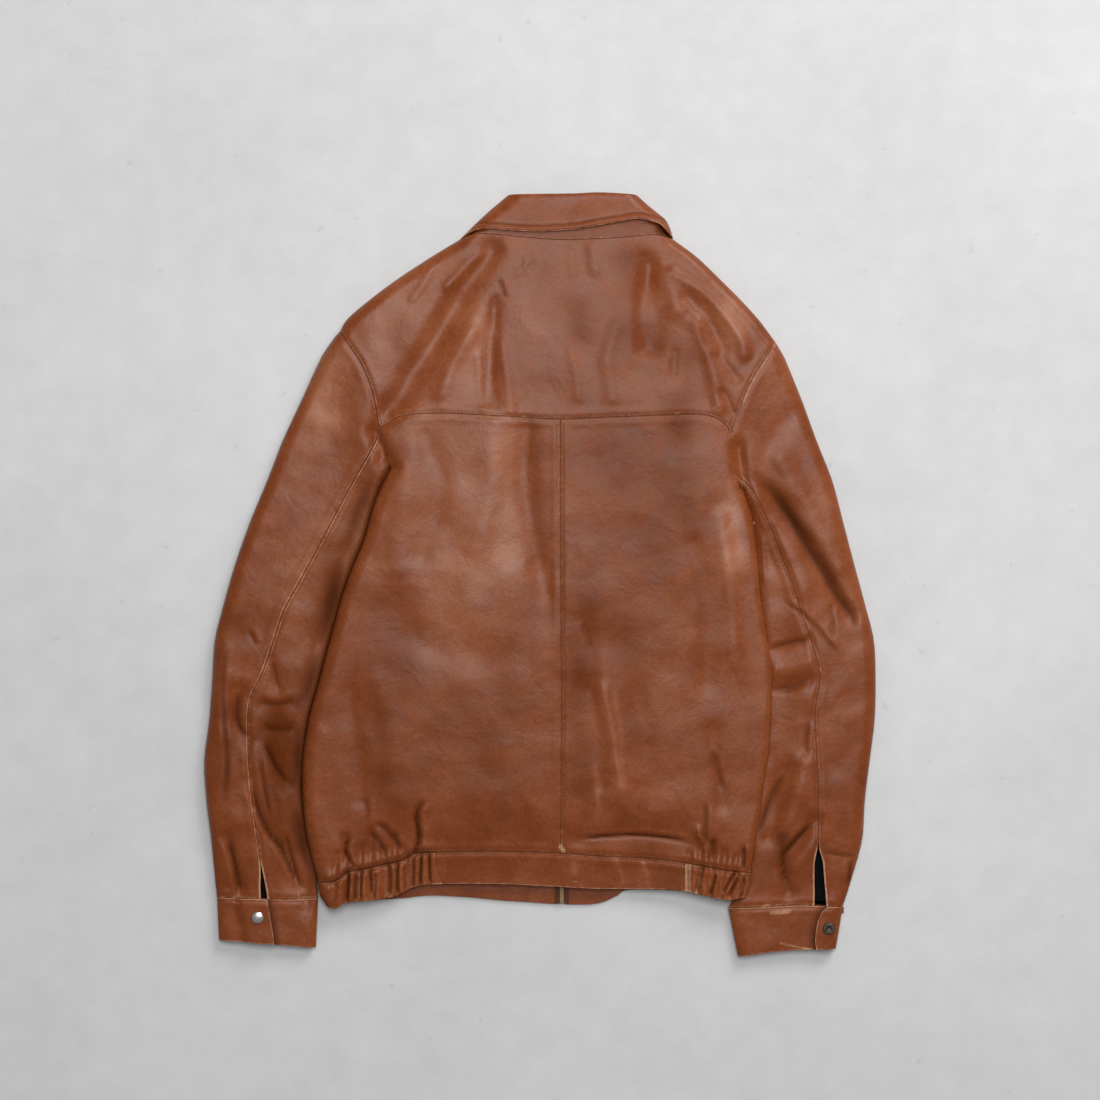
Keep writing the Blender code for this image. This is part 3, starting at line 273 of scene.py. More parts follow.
BACK_SEAM_RIGHT = [(202, 104), (219, 86), (230, 65), (240, 41), (247, 21), (255, 3), (263, -21),
                   (271, -46), (280, -72), (286, -93), (288, -108), (284, -129), (282, -144),
                   (284, -180), (286, -221), (286, -281), (289, -341)]
CUFF_END_LEFT = [(-231, -384), (-263, -381), (-299, -378), (-331, -376)]
CUFF_END_RIGHT = [(204, -393), (232, -389), (263, -386), (305, -385)]
CUFF_INNER_LEFT = [(-229, -333), (-230, -358), (-231, -384)]
CUFF_OUTER_LEFT = [(-333, -332), (-332, -354), (-331, -376)]
CUFF_INNER_RIGHT = [(194, -343), (199, -368), (204, -393)]
CUFF_OUTER_RIGHT = [(312, -342), (309, -362), (305, -385)]

COLLAR_FOLD = [(-33, 391), (0, 391.5), (36, 392), (62, 393), (100, 391)]
COLLAR_SLOPE_LEFT = [(-33, 391), (-52, 375), (-66, 362), (-76, 352), (-84, 344)]
COLLAR_SLOPE_RIGHT = [(100, 391), (111, 381), (122, 372), (129, 366), (134, 357), (137, 347)]
LEAF_EDGE = [(-84, 344), (-79, 348), (-69, 353), (-55, 355), (-41, 354), (-29, 353), (0, 352),
             (33, 354), (59, 358), (87, 363), (99, 365), (112, 363), (124, 357), (137, 347)]
FRONT_FOLD_LEFT = [(-33, 391), (-22, 372), (-5, 345), (9, 318), (15, 300)]
FRONT_FOLD_RIGHT = [(100, 391), (88, 372), (58, 345), (37, 318), (30, 300)]
FRONT_LEAF_LEFT = [(-84, 344), (-66, 312), (-40, 280), (-12, 250)]
FRONT_LEAF_RIGHT = [(137, 347), (116, 312), (86, 280), (57, 250)]
STAND_FOLD = [(-31, 387), (0, 387.5), (36, 387.5), (62, 388), (98, 387)]
STAND_SLOPE_LEFT = [(-31, 387), (-50, 371), (-64, 358), (-73, 349.5), (-80, 345)]
STAND_SLOPE_RIGHT = [(98, 387), (108, 377), (118, 368.5), (125, 362), (129, 355), (132, 348)]
STAND_NECK = [(-80, 345), (-67, 350.5), (-41, 349.4), (-10, 346.4), (21, 344.4), (62, 345.4),
              (93, 347.4), (118, 349.4), (132, 348)]
STAND_FRONT_NECK_LEFT = [(-80, 345), (-72, 319), (-49, 291.4), (-15, 271.8), (19, 266.8)]
STAND_FRONT_NECK_RIGHT = [(132, 348), (122, 319), (97, 291.4), (62, 271.8), (26, 266.8)]
STAND_FRONT_FOLD_LEFT = [(-31, 387), (-21, 369), (-6, 342), (8, 316), (16, 297)]
STAND_FRONT_FOLD_RIGHT = [(98, 387), (86, 369), (57, 342), (36, 316), (29, 297)]

# Broad folds: route, half width, height above the leather around it
BODY_FOLDS = [
    ([(-82, 273), (-103, 242), (-124, 206), (-139, 180), (-155, 168)], 14, -3.0),
    ([(-46, 273), (-51, 237), (-55, 180)], 9, -1.6),
    ([(107, 324), (116, 280), (118, 232)], 10, -2.0),
    ([(-60, 140), (-78, 60), (-72, -10)], 40, 2.2),
    ([(-20, 120), (0, 30), (10, -40)], 22, -1.6),
    ([(-150, -40), (-110, -75), (-60, -80)], 24, -2.0),
    ([(60, -100), (75, -170), (80, -220)], 18, 2.0),
    ([(44, -46), (52, -77), (55, -110)], 10, -1.2),
    ([(177, -160), (182, -201), (187, -235)], 9, -1.8),
    ([(36, -271), (104, -266), (144, -272), (170, -280)], 9, -1.8),
    ([(150, 120), (165, 40), (160, -60)], 30, 1.8),
]
SLEEVE_FOLDS_RIGHT = [
    ([(220, 96), (235, 86), (247, 72), (263, 46), (286, 10), (304, -21), (319, -41)], 8, -4.2),
    ([(248, 120), (266, 84), (286, 48), (306, 10)], 12, 2.5),
    ([(240, 50), (256, 18), (270, -15)], 10, 1.8),
    ([(237, -77), (258, -70), (276, -67)], 6, -2.0),
    ([(242, -97), (258, -95), (276, -89)], 8, 1.8),
    ([(242, -116), (258, -116), (276, -109)], 7, -2.0),
    ([(276, -149), (271, -180)], 8, -1.5),
    ([(252, -201), (242, -232), (236, -270)], 9, -2.2),
    ([(272, -195), (262, -230), (250, -262)], 10, 2.0),
    ([(283, -252), (262, -280), (251, -296), (252, -314), (256, -326)], 7, -3.6),
    ([(276, -282), (262, -302)], 7, 1.6),
]
SLEEVE_FOLDS_LEFT = [
    ([(-311, -118), (-312, -149), (-301, -170)], 9, -3.0),
    ([(-326, -77), (-324, -129), (-321, -180), (-318, -250)], 9, 1.5),
    ([(-323, -270), (-317, -288), (-309, -324)], 6, -3.0),
    ([(-298, -211), (-290, -242), (-278, -268), (-265, -285), (-250, -320)], 7, -2.2),
    ([(-284, -170), (-273, -196), (-260, -216)], 8, -2.2),
    ([(-268, -180), (-260, -215), (-257, -260)], 12, 2.0),
    ([(-276, -88), (-269, -118)], 7, -1.6),
    ([(-286, -134), (-256, -134)], 6, -1.6),
    ([(-286, -160), (-258, -160)], 6, -1.6),
]
# Gathers of the elastic: upper end in the back, lower end at the band's edge, half width, height
GATHERS_LEFT = [
    ((-208, -286), (-213, -341), 3.6, -2.4), ((-200, -268), (-199, -341), 3.6, -3.0),
    ((-184, -280), (-187, -338), 3.6, -2.6), ((-174, -262), (-173, -336), 3.6, -2.2),
    ((-160, -282), (-160, -333), 3.6, -2.4), ((-150, -270), (-147, -333), 3.6, -2.8),
    ((-138, -284), (-135, -328), 3.4, -2.0), ((-126, -250), (-125, -324), 3.8, -2.8),
    ((-116, -286), (-114, -322), 3.4, -1.8),
]
GATHERS_RIGHT = [
    ((154, -286), (152, -326), 3.4, -1.8), ((166, -280), (162, -331), 3.6, -2.4),
    ((178, -276), (174, -331), 3.6, -2.2), ((190, -284), (184, -331), 3.6, -2.4),
    ((202, -288), (195, -331), 3.6, -2.2),
]
ELASTIC_LEFT_END = -107.0    # the plain band starts here on the back
ELASTIC_RIGHT_END = 148.0
FRONT_ELASTIC_LEFT = -165.0
FRONT_ELASTIC_RIGHT = 160.0

STAND_WIDTH = 42.0
STAND_BELOW = 0.6            # between the stand and the leaf
COLLAR_CROWN = 21.2          # height of the leaf at its fold, and how much it rises from there
COLLAR_RISE = 3.8
FOLD_ROLL = 2.4              # how far the leaf rolls down at its fold

HEAD_FADE = 10               # how soon a sleeve's rows straighten below the armhole

# Cuffs: the outer side's end laps over the inner side's
LAP = 22.0                    # how far the inner side runs on below the tab
VENT = 58.0                   # length of the open seam above the cuff
VENT_LEFT_GAP = 7.0
VENT_LINING_LEFT = (-284, -309)
VENT_LINING_RIGHT = (289, -314)
VENT_LINING_HALF = 12.0
VENT_LINING_TOP = 26.0        # how far it runs up and down from there
VENT_LINING_LOW = 22.0
VENT_BELOW_LEFT = 0.3
VENT_BELOW_RIGHT = 1.0
SNAP = 12.5                   # cap diameter
SNAP_LEFT = (-290, -352)
SNAP_RIGHT = (297, -363)


def smooth(points, samples=200):
    """A smooth curve through the points, as samples at even distances along it."""
    p = np.array(points, float)
    p = np.vstack([2 * p[0] - p[1], p, 2 * p[-1] - p[-2]])
    line = []
    for a, b, c, d in zip(p, p[1:], p[2:], p[3:]):
        t = np.linspace(0, 1, 16, endpoint=False)[:, None]
        line.append(0.5 * (2 * b + (c - a) * t + (2 * a - 5 * b + 4 * c - d) * t**2
                           + (3 * b - a - 3 * c + d) * t**3))
    return even(np.vstack(line + [p[-2:-1]]), samples)


def even(line, samples=200):
    """The same line with its samples at even distances."""
    run = np.concatenate([[0], np.cumsum(np.linalg.norm(np.diff(line, axis=0), axis=1))])
    where = np.linspace(0, run[-1], samples + 1)
    return np.stack([np.interp(where, run, line[:, k]) for k in range(2)], axis=1)


def at(line, t):
    """Points at fractions t of the line's length."""
    where = np.linspace(0, 1, len(line))
    return np.stack([np.interp(t, where, line[:, k]) for k in range(2)], axis=-1)


def fraction(line, point):
    """How far along the line its nearest place to the point is, from 0 to 1."""
    fine = at(line, np.linspace(0, 1, 20001))
    return np.argmin(np.linalg.norm(fine - np.array(point, float), axis=1)) / 20000


def stretch(line, start, end):
    """The part of a line between two fractions of its length."""
    return at(line, np.linspace(start, end, len(line)))


def joined(*lines):
    """Lines end to end, as one line."""
    return even(np.vstack([line if k == 0 else line[1:] for k, line in enumerate(lines)]))


def patch(top, bottom, left, right):
    """A surface in plan spanned between four lines; u runs left to right, v runs top to bottom."""
    def point(u, v):
        u, v = np.broadcast_arrays(u, v)
        across = (1 - v)[..., None] * at(top, u) + v[..., None] * at(bottom, u)
        down = (1 - u)[..., None] * at(left, v) + u[..., None] * at(right, v)
        corners = ((1 - u) * (1 - v))[..., None] * top[0] + (u * (1 - v))[..., None] * top[-1] \
            + ((1 - u) * v)[..., None] * bottom[0] + (u * v)[..., None] * bottom[-1]
        return across + down - corners
    return point


def distance(points, lines):
    """Shortest distance in plan from each point to any of the lines."""
    flat = points.reshape(-1, 2)
    best = np.full(len(flat), 1e9)
    for line in lines:
        coarse = line[::4] if len(line) > 50 else line
        start, step = coarse[:-1], np.diff(coarse, axis=0)
        to = flat[:, None] - start[None]
        t = np.clip((to * step).sum(-1) / (step * step).sum(-1), 0, 1)
        gap = np.linalg.norm(to - t[..., None] * step, axis=-1).min(axis=1)
        best = np.minimum(best, gap)
    return best.reshape(points.shape[:-1])


def ease(t):
    """0 up to 1 with no corner at either end."""
    t = np.clip(t, 0, 1)
    return t * t * (3 - 2 * t)


def rounded(d, radius):
    """A folded edge's profile: 0 at the edge, rising as a quarter ellipse to 1 a radius in."""
    t = np.clip(1 - d / radius, 0, 1)
    return np.sqrt(1 - t * t)


CURVES = {name: smooth(value) for name, value in list(globals().items())
          if name.isupper() and isinstance(value, list) and len(value[0]) == 2 and np.isscalar(value[0][0])}
GATHERS = [([top, end], width, rise) for top, end, width, rise in GATHERS_LEFT + GATHERS_RIGHT]
BODY_LINES = [CURVES[name] for name in
              ("SHOULDER_LEFT", "SHOULDER_RIGHT", "OUTER_LEFT", "OUTER_RIGHT", "SIDE_LEFT", "SIDE_RIGHT",
               "BAND_SIDE_LEFT", "BAND_SIDE_RIGHT", "COLLAR_SLOPE_LEFT", "COLLAR_SLOPE_RIGHT")]


def sleeve_lines(side):
    """The folded edges of one sleeve and its cuff."""
    names = ("SHOULDER", "OUTER", "INNER", "CUFF_INNER", "CUFF_OUTER")
    return [CURVES[f"{name}_{side}"] for name in names]


def right_tuck(points):
    """1 where the body's right edge lies on the sleeve, 0 away from there."""
    return ease((88 - points[..., 1]) / 60) * ease((points[..., 0] - 60) / 60)


def body_side(points):
    """Height of the middle of the body's folded edge."""
    left = LEFT_RISE * ease((110 - points[..., 1]) / 60) * ease((-60 - points[..., 0]) / 60)
    return SIDE_MIDDLE + left + RIGHT_RISE * right_tuck(points)


def body_bottom(points):
    """Outer face of the fronts, which lie on the floor, on the collar's points and on the right sleeve."""
    d = distance(points, BODY_LINES)
    tuck = right_tuck(points)
    ramp = 26 + 18 * ease((-250 - points[..., 1]) / 70)
    on_sleeve = SLEEVE_LIFT * tuck * (1 - ease(d / ramp)) * (points[..., 0] > 0)
    necks = [CURVES["FRONT_NECK_LEFT"], CURVES["FRONT_NECK_RIGHT"]]
    on_collar = COLLAR_LIFT * (1 - ease((distance(points, necks) - 34) / 40))
    lift = on_sleeve + on_collar * (points[..., 1] > 120)
    nose = UNDER_EDGE - TUCK_FLATTER * tuck
    return lift + (body_side(points) - lift) * (1 - rounded(d, nose))


def sleeve_side(points, side):
    """Height of the middle of a sleeve's folded edge."""
    away = distance(points, [CURVES[f"ARMHOLE_{side}"]])
    return SIDE_MIDDLE + (SLEEVE_MIDDLE - SIDE_MIDDLE) * ease(away / 60)


def sleeve_bottom(points, side):
    """Outer face of the sleeve's under side, flat on the floor."""
    d = distance(points, sleeve_lines(side))
    return sleeve_side(points, side) * (1 - rounded(d, UNDER_EDGE))


def toward_edge(start, edge, flat_steps, arc_steps, share):
    """Fractions from start to a folded edge at 0 or 1, packed closer over the last share of the width."""
    sign = 1 if edge == 1 else -1
    share = np.minimum(share, 0.8 * np.abs(edge - start))
    knee = edge - sign * share
    flat = [start + (knee - start) * k / flat_steps for k in range(flat_steps)]
    turn = [edge - sign * share * (1 - math.sin(math.pi / 2 * k / arc_steps)) * np.ones_like(start)
            for k in range(arc_steps + 1)]
    return flat + turn


# Softer folds between the broad ones: route, half width, height
BODY_SOFT = [
    ([(-50, 332), (-70, 304), (-88, 279), (-108, 244), (-126, 219), (-144, 188), (-161, 160)], 12, -2.6),
    ([(-62, 328), (-79, 312), (-94, 296)], 6, 1.5),
    ([(-70, 250), (-88, 219), (-102, 186)], 8, 1.3),
    ([(-112, 315), (-118, 300), (-130, 284)], 5, 0.8),
    ([(-63, 224), (-61, 196), (-58, 171)], 5, 0.6),
    ([(-39, 238), (-34, 204), (-29, 168)], 6, 0.8),
    ([(-46, 282), (-47, 268), (-47, 254)], 5, -0.7),
    ([(-50, 240), (-49, 205), (-44, 172)], 5, -0.5),
    ([(-24, 308), (-15, 318), (-6, 327)], 2.2, 0.35),
    ([(-15, 326), (-14, 310)], 2.0, 0.3),
    ([(32, 332), (34, 310)], 5, 0.5),
    ([(52, 336), (56, 313)], 6, 0.6),
    ([(31, 228), (37, 206), (39, 182)], 5, 0.5),
    ([(77, 255), (69, 219), (73, 182)], 8, 0.9),
    ([(114, 318), (106, 287), (104, 262), (108, 234)], 9, -2.0),
    ([(128, 304), (138, 288), (142, 272)], 10, 1.4),
    ([(137, 310), (153, 299), (171, 288), (184, 273), (198, 255), (207, 240), (210, 226)], 7, 1.8),
    ([(150, 284), (166, 268), (178, 250), (188, 232)], 7, -1.3),
    ([(161, 258), (171, 229), (179, 202), (184, 174)], 8, 1.5),
    ([(166, 250), (171, 236)], 3, -0.6),
    ([(138, 228), (137, 205)], 5, -0.8),
    ([(184, 224), (193, 212), (202, 201)], 5, -1.0),
    ([(187, 186), (197, 167)], 5, -1.2),
    ([(-130, 128), (-140, 70), (-146, 10)], 14, 1.4),
    ([(-100, 60), (-92, -10), (-110, -70)], 18, -0.9),
    ([(-118, 140), (-100, 100), (-108, 60), (-120, 20)], 12, -1.2),
    ([(-44, 152), (-50, 90), (-62, 30)], 12, 0.8),
    ([(-14, 150), (-16, 96), (-8, 40), (6, -20)], 10, -1.3),
    ([(64, -116), (74, -160), (82, -218)], 7, 1.2),
    ([(52, -120), (60, -170), (64, -215)], 8, -1.0),
    ([(100, -120), (112, -180), (116, -230)], 10, -0.8),
    ([(158, 30), (172, -40), (170, -110)], 12, -1.2),
    ([(186, 60), (196, -20), (200, -90)], 9, 1.2),
    ([(162, -262), (170, -280), (170, -294)], 4, 1.8),
    ([(-166, -110), (-150, -170), (-150, -220)], 12, 1.0),
    ([(-196, -120), (-188, -180), (-186, -230)], 9, -1.2),
    ([(-60, -200), (-58, -240), (-66, -274)], 10, -0.7),
]
# Valleys where the body folds down beside a sleeve, seen on both
UNDERARM_FOLDS = [
    ([(-170, 146), (-163, 128), (-156, 106)], 8, -5.0),
    ([(204, 132), (206, 112), (213, 86)], 7, -4.0),
]

# Sharp creases: route, half width, depth, and how high its lip stands, on the left of the route if positive
BODY_CREASES = [
    ([(-43, 304), (-38, 293), (-36, 283)], 2.2, 0.8, 0.5),
    ([(44, -46), (48, -62), (52, -77)], 2.2, 0.8, -0.5),
    ([(-196, -268), (-200, -283), (-188, -302)], 2.2, 2.0, 0.6),
    ([(-118, -228), (-127, -246), (-125, -268), (-132, -296)], 2.6, 2.8, 0.5),
    ([(-180, -227), (-177, -242), (-178, -256)], 2.2, 1.0, 0.5),
    ([(-170, -252), (-155, -264), (-140, -285)], 2.4, 1.4, 0.5),
    ([(-176, -262), (-163, -277), (-158, -292)], 2.2, 1.3, 0.5),
    ([(177, -180), (182, -201), (187, -221)], 2.6, 1.2, 0.5),
    ([(170, -232), (169, -258), (170, -283)], 2.5, 1.2, 0.5),
    ([(36, -271), (70, -268), (103, -267), (144, -272), (160, -277)], 1.9, 1.9, 0.4),
    ([(161, -264), (169, -279), (170, -293)], 1.8, -2.2, 0.8),
    ([(177, -268), (177, -280), (173, -294)], 2.8, 1.6, 0),
    ([(208, -276), (209, -290), (208, -303)], 2.2, 2.4, 0.6),
]
SLEEVE_CREASES_RIGHT = [
    ([(216, 100), (235, 88), (247, 72), (263, 46), (286, 10), (304, -21), (319, -41), (330, -67)], 4.0, 1.7, 0.4),
    ([(247, -24), (278, -48), (309, -85)], 2.2, 1.0, 0.4),
    ([(299, -26), (301, -67)], 2.2, 0.8, 0.4),
    ([(228, 46), (230, 15), (231, -15)], 3.0, -0.9, 0),
    ([(237, -77), (258, -70), (278, -67)], 2.2, 1.4, 0.5),
    ([(237, -118), (258, -117), (276, -109)], 2.2, 1.4, -0.5),
    ([(276, -149), (274, -165), (271, -180)], 2.2, 1.0, 0.4),
    ([(252, -201), (237, -232), (224, -270)], 2.8, 1.6, 0.5),
    ([(283, -252), (255, -283), (250, -296), (252, -314), (256, -326)], 2.8, 2.4, -0.7),
    ([(290, -285), (310, -288), (326, -289)], 2.0, 1.0, 0.4),
    ([(317, -319), (319, -304), (320, -292)], 2.2, 2.0, 0.5),
]
SLEEVE_CREASES_LEFT = [
    ([(-311, -118), (-312, -149), (-301, -170)], 3.0, 1.5, 0.5),
    ([(-323, -270), (-317, -288), (-309, -330)], 2.4, 2.4, -0.6),
    ([(-298, -211), (-290, -242), (-278, -268), (-265, -285), (-247, -326)], 2.4, 2.0, -0.6),
    ([(-284, -170), (-273, -196), (-258, -216)], 2.4, 1.4, 0.5),
    ([(-288, -130), (-270, -133), (-250, -127)], 3.4, 1.0, 0.3),
    ([(-285, -156), (-268, -160), (-252, -158)], 3.0, 0.9, 0.3),
    ([(-288, -186), (-283, -222), (-277, -250)], 2.0, 1.1, 0.4),
    ([(-322, -60), (-326, -120), (-322, -190), (-326, -240)], 3.2, 1.0, -0.4),
    ([(-276, -88), (-269, -118)], 2.2, 1.0, 0.5),
    ([(-299, -57), (-291, -72)], 2.2, 1.0, 0.5),
    ([(-262, -262), (-256, -290), (-246, -326)], 2.2, 1.4, 0.5),
]
BAND_CREASES = [
    ([(-197, -300), (-197, -316), (-199, -338)], 1.9, 3.0, 0.5), ([(-188, -303), (-189, -318), (-190, -337)], 2.3, 2.4, 0.4),
    ([(-183, -299), (-184, -318), (-184, -336)], 1.5, 2.0, 0.4), ([(-175, -298), (-174, -312), (-173, -330)], 1.4, 1.8, 0.4),
    ([(-170, -304), (-169, -320), (-171, -334)], 1.3, 1.5, -0.3), ([(-156, -293), (-154, -312), (-155, -332)], 2.7, 2.8, 0.5),
    ([(-146, -292), (-147, -308), (-147, -330)], 1.6, 2.4, 0.4), ([(-139, -296), (-139, -312), (-138, -326)], 1.3, 1.4, 0.3),
    ([(-130, -287), (-130, -306), (-131, -325)], 1.9, 2.7, 0.4), ([(-122, -284), (-123, -304), (-124, -322)], 1.6, 2.5, 0.4),
    ([(-114, -284), (-114, -302), (-113, -320)], 1.4, 2.0, 0.3), ([(36, -314), (36, -322), (35, -330)], 2.0, -0.7, 0),
    ([(78, -289), (82, -302), (85, -314)], 1.8, -0.8, 0), ([(105, -294), (109, -306), (112, -316)], 1.8, -0.8, 0),
    ([(168, -297), (164, -311), (160, -328)], 1.7, 2.0, 0.4), ([(181, -304), (178, -316), (174, -330)], 1.7, 2.2, 0.4),
    ([(202, -302), (194, -315), (187, -328)], 1.4, 2.6, 0.4), ([(206, -302), (200, -316), (193, -331)], 1.3, 2.2, 0.4),
    ([(211, -305), (208, -318), (205, -335)], 1.5, 2.4, 0.4), ([(152, -291), (152, -306), (152, -328)], 1.2, 1.2, 0.3),
]

# Broad differences of tone, partly the leather's own and partly painted sheen where lighter and painted shade where
# darker: route, half width, lighter if positive
TONES = [
    ([(-110, 150), (-98, 90), (-92, 20), (-88, -40), (-96, -80)], 34, 0.7),
    ([(-40, 150), (-38, 90), (-34, 20)], 20, 0.8),
    ([(-6, 150), (-4, 90), (2, 20)], 11, -0.4),
    ([(62, -118), (72, -170), (80, -221)], 12, 0.45),
    ([(-150, 290), (-120, 250), (-100, 215)], 16, 0.35),
    ([(-214, 220), (-218, 190), (-220, 158)], 22, 0.75),
    ([(247, 212), (250, 186), (252, 158)], 20, 0.5),
    ([(196, 92), (196, 56), (198, 20)], 12, 0.5),
    ([(70, 130), (110, 60), (150, -20)], 46, -0.4),
    ([(41, -36), (41, -72), (40, -108)], 26, -0.45),
    ([(92, 250), (118, 238), (150, 226)], 24, -0.5),
    ([(-150, -60), (-170, -130), (-160, -200)], 36, -0.4),
    ([(-216, 12), (-218, -20), (-222, -52)], 18, -0.5),
    ([(-268, -146), (-268, -175), (-268, -206)], 20, -0.6),
    ([(-60, -100), (-70, -180), (-40, -230)], 46, -0.2),
    ([(-230, 60), (-256, -20), (-262, -70)], 18, 0.3),
    ([(290, 80), (320, 0), (335, -90)], 16, 0.3),
    ([(130, 150), (150, 100), (160, 60)], 18, -0.3),
    ([(-150, -250), (-160, -262), (-190, -270)], 14, -0.4),
    ([(-72, 270), (-66, 235), (-64, 200)], 18, 0.6),
    ([(-22, 272), (-14, 262), (-4, 252)], 16, 0.4),
    ([(-214, 214), (-216, 190), (-218, 164)], 18, 0.4),
    ([(-62, 4), (-36, 6), (-8, 4)], 20, 0.45),
    ([(-116, -38), (-88, -46), (-62, -50)], 18, 0.55),
    ([(192, 272), (198, 262), (204, 248)], 14, 0.6),
    ([(196, 66), (197, 36), (198, 2)], 10, 0.4),
    ([(-268, -140), (-268, -200), (-266, -250)], 22, -0.7),
    ([(-318, -140), (-320, -180), (-318, -216)], 14, -0.6),
    ([(-130, -94), (-113, -99), (-94, -101)], 18, -0.35),
    ([(40, -90), (42, -102), (44, -114)], 16, -0.5),
    ([(142, 168), (144, 160), (148, 146)], 16, -0.6),
    ([(90, 324), (93, 314), (98, 300)], 16, -0.6),
    # Narrow painted sheen streaks on the band
    ([(34, -296), (35, -300), (36, -306)], 3, 0.9),
    ([(77, -290), (81, -302), (85, -315)], 3, 0.9),
    ([(105, -295), (108, -305), (111, -316)], 3, 0.9),
    ([(76, -120), (82, -160), (86, -214)], 3, 0.5),
    ([(56, -196), (58, -214), (60, -236)], 3, 0.6),
    ([(-165, 262), (-165, 236), (-163, 208)], 14, 0.5),
    ([(-116, 322), (-118, 312), (-122, 300)], 14, 0.4),
    ([(194, 66), (197, 30), (198, -10)], 12, 0.4),
    ([(60, -40), (66, -48), (74, -60)], 18, -0.4),
    ([(-240, 120), (-246, 104), (-252, 84)], 14, 0.4),
    ([(-118, 130), (-113, 98), (-110, 50)], 18, -0.45),
    ([(194, 268), (198, 260), (202, 250)], 12, 0.5),
    ([(200, 20), (226, 8), (250, -10)], 14, 0.45),
    ([(-308, -46), (-290, -50), (-272, -52)], 20, -0.5),
    ([(41, 272), (42, 262), (44, 250)], 14, -0.45),
    ([(38, -192), (42, -202), (44, -216)], 18, -0.6),
    ([(90, -44), (93, -72), (92, -104)], 18, -0.4),
    ([(92, -146), (93, -160), (94, -174)], 16, -0.4),
]

# Rubbed pale leather: route, half width, amount
RUBBED = [
    ([(21.5, -279), (22.7, -281), (24, -283)], 2.2, 1.0),
    ([(152.5, -299), (152.5, -312), (153, -327)], 2.8, 0.55),
    ([(166, -303), (163, -316), (160, -327)], 1.3, 0.6),
    ([(125, -262), (128, -263), (131, -262)], 1.2, 0.4),
    ([(238, -348), (248, -347), (257, -346)], 3.0, 0.66),
    ([(231, -339), (233, -339.5), (235, -339)], 1.6, 0.55),
    ([(248, -379), (262, -382), (279, -385)], 1.5, 0.55),
    ([(-316, -336.5), (-313, -337), (-310, -337.5)], 1.7, 0.6),
    ([(-305, 345), (-308, 366), (-317, 387)], 1.3, 0.5),
    ([(244, 240), (232, 222), (219, 200), (209, 178)], 1.2, 0.5),
    ([(243, -273), (248, -300), (257, -333)], 1.2, 0.4),
    ([(-286, -254), (-265, -285), (-255, -300), (-249, -330)], 1.1, 0.5),
    ([(162, -264), (171, -281), (170, -292)], 1.6, 0.35),
]

# Painted shade deep in the sleeves' folds and in the valleys beside the body: route, half width, amount
GRIME = [
    ([(-166, 122), (-180, 84), (-194, 44), (-202, 10)], 7.5, 0.75),
    ([(-200, 30), (-211, -12), (-220, -52), (-227, -84)], 9.5, 1.1),
    ([(-224, -70), (-237, -110), (-244, -150)], 7.5, 0.85),
    ([(-243, -140), (-248, -178), (-249, -212), (-249, -236)], 7.5, 1.0),
    ([(-250, -212), (-248, -248), (-240, -292), (-234, -316)], 9.0, 1.0),
    ([(226, 102), (248, 73), (272, 41), (290, 14)], 7.0, 0.85),
    ([(274, 38), (292, 12), (306, -16), (316, -36)], 5.5, 0.6),
    ([(254, -252), (249, -276), (252, -306)], 6.0, 0.8),
]


def near(points, line, reach):
    """Which points lie within reach of the box round a line."""
    low, high = line.min(axis=0) - reach, line.max(axis=0) + reach
    return ((points >= low) & (points <= high)).all(axis=-1)


def relief(points, folds):
    """Height of the broad folds at each point."""
    height = np.zeros(points.shape[:-1])
    for route, width, rise in folds:
        line = smooth(route, 24) if len(route) > 2 else np.array(route, float)
        here = near(points, line, 3 * width)
        if here.any():
            height[here] += rise * np.exp(-(distance(points[here], [line]) / width) ** 2)
    return height


def measure(points, line):
    """Distance to a line, the same with its side as the sign, and the place along the line from 0 to 1."""
    start, step = line[:-1], np.diff(line, axis=0)
    to = points[:, None] - start[None]
    t = np.clip((to * step).sum(-1) / (step * step).sum(-1), 0, 1)
    gap = to - t[..., None] * step
    far = np.linalg.norm(gap, axis=-1)
    row = np.arange(len(points))
    k = far.argmin(axis=1)
    side = np.sign(step[k, 0] * gap[row, k, 1] - step[k, 1] * gap[row, k, 0])
    return far[row, k], side * far[row, k], (k + t[row, k]) / len(step)


def creased(points, creases):
    """Height of the sharp creases, and how far down in one each point lies, from 0 to 1, which darkens the crease as
    dirt and painted shade.
    """
    height, dirt = np.zeros(points.shape[:-1]), np.zeros(points.shape[:-1])
    for route, width, depth, lean in creases:
        line = smooth(route, 30) if len(route) > 2 else even(np.array(route, float), 12)
        here = near(points, line, 5 * width)
        if not here.any():
            continue
        d, side, t = measure(points[here], line)
        fade = ease(t / 0.2) * ease((1 - t) / 0.2)
        valley = np.exp(-(d / width) ** 2)
        lip = abs(lean) * np.exp(-((side * np.sign(lean) - 2 * width) / (1.5 * width)) ** 2)
        height[here] += depth * fade * (lip - valley)
        # Darkening along the crease's valley: dirt and painted shade
        if depth > 0:
            dirt[here] = np.maximum(dirt[here], fade * np.exp(-(d / (0.85 * width)) ** 2) * min(depth / 1.9, 1))
    return height, dirt


def ripple(points, seed, wave, count=16):
    """Soft unevenness with no pattern in it, about 1 at its highest."""
    rng = np.random.default_rng(seed)
    total = np.zeros(points.shape[:-1])
    for angle, share, phase in rng.uniform(0, 1, (count, 3)):
        turn, length = 2 * math.pi * angle, wave * (0.6 + share)
        total += np.sin((points[..., 0] * math.cos(turn) + points[..., 1] * math.sin(turn)) * 2 * math.pi / length
                        + 2 * math.pi * phase)
    return total / math.sqrt(2 * count)


# The leaf's end curls up and away from the neck at the right
line = CURVES["LEAF_EDGE"]
line += np.outer(1.8 * np.exp(-((line[:, 0] - 123) / 6) ** 2), (0.5, 0.85))

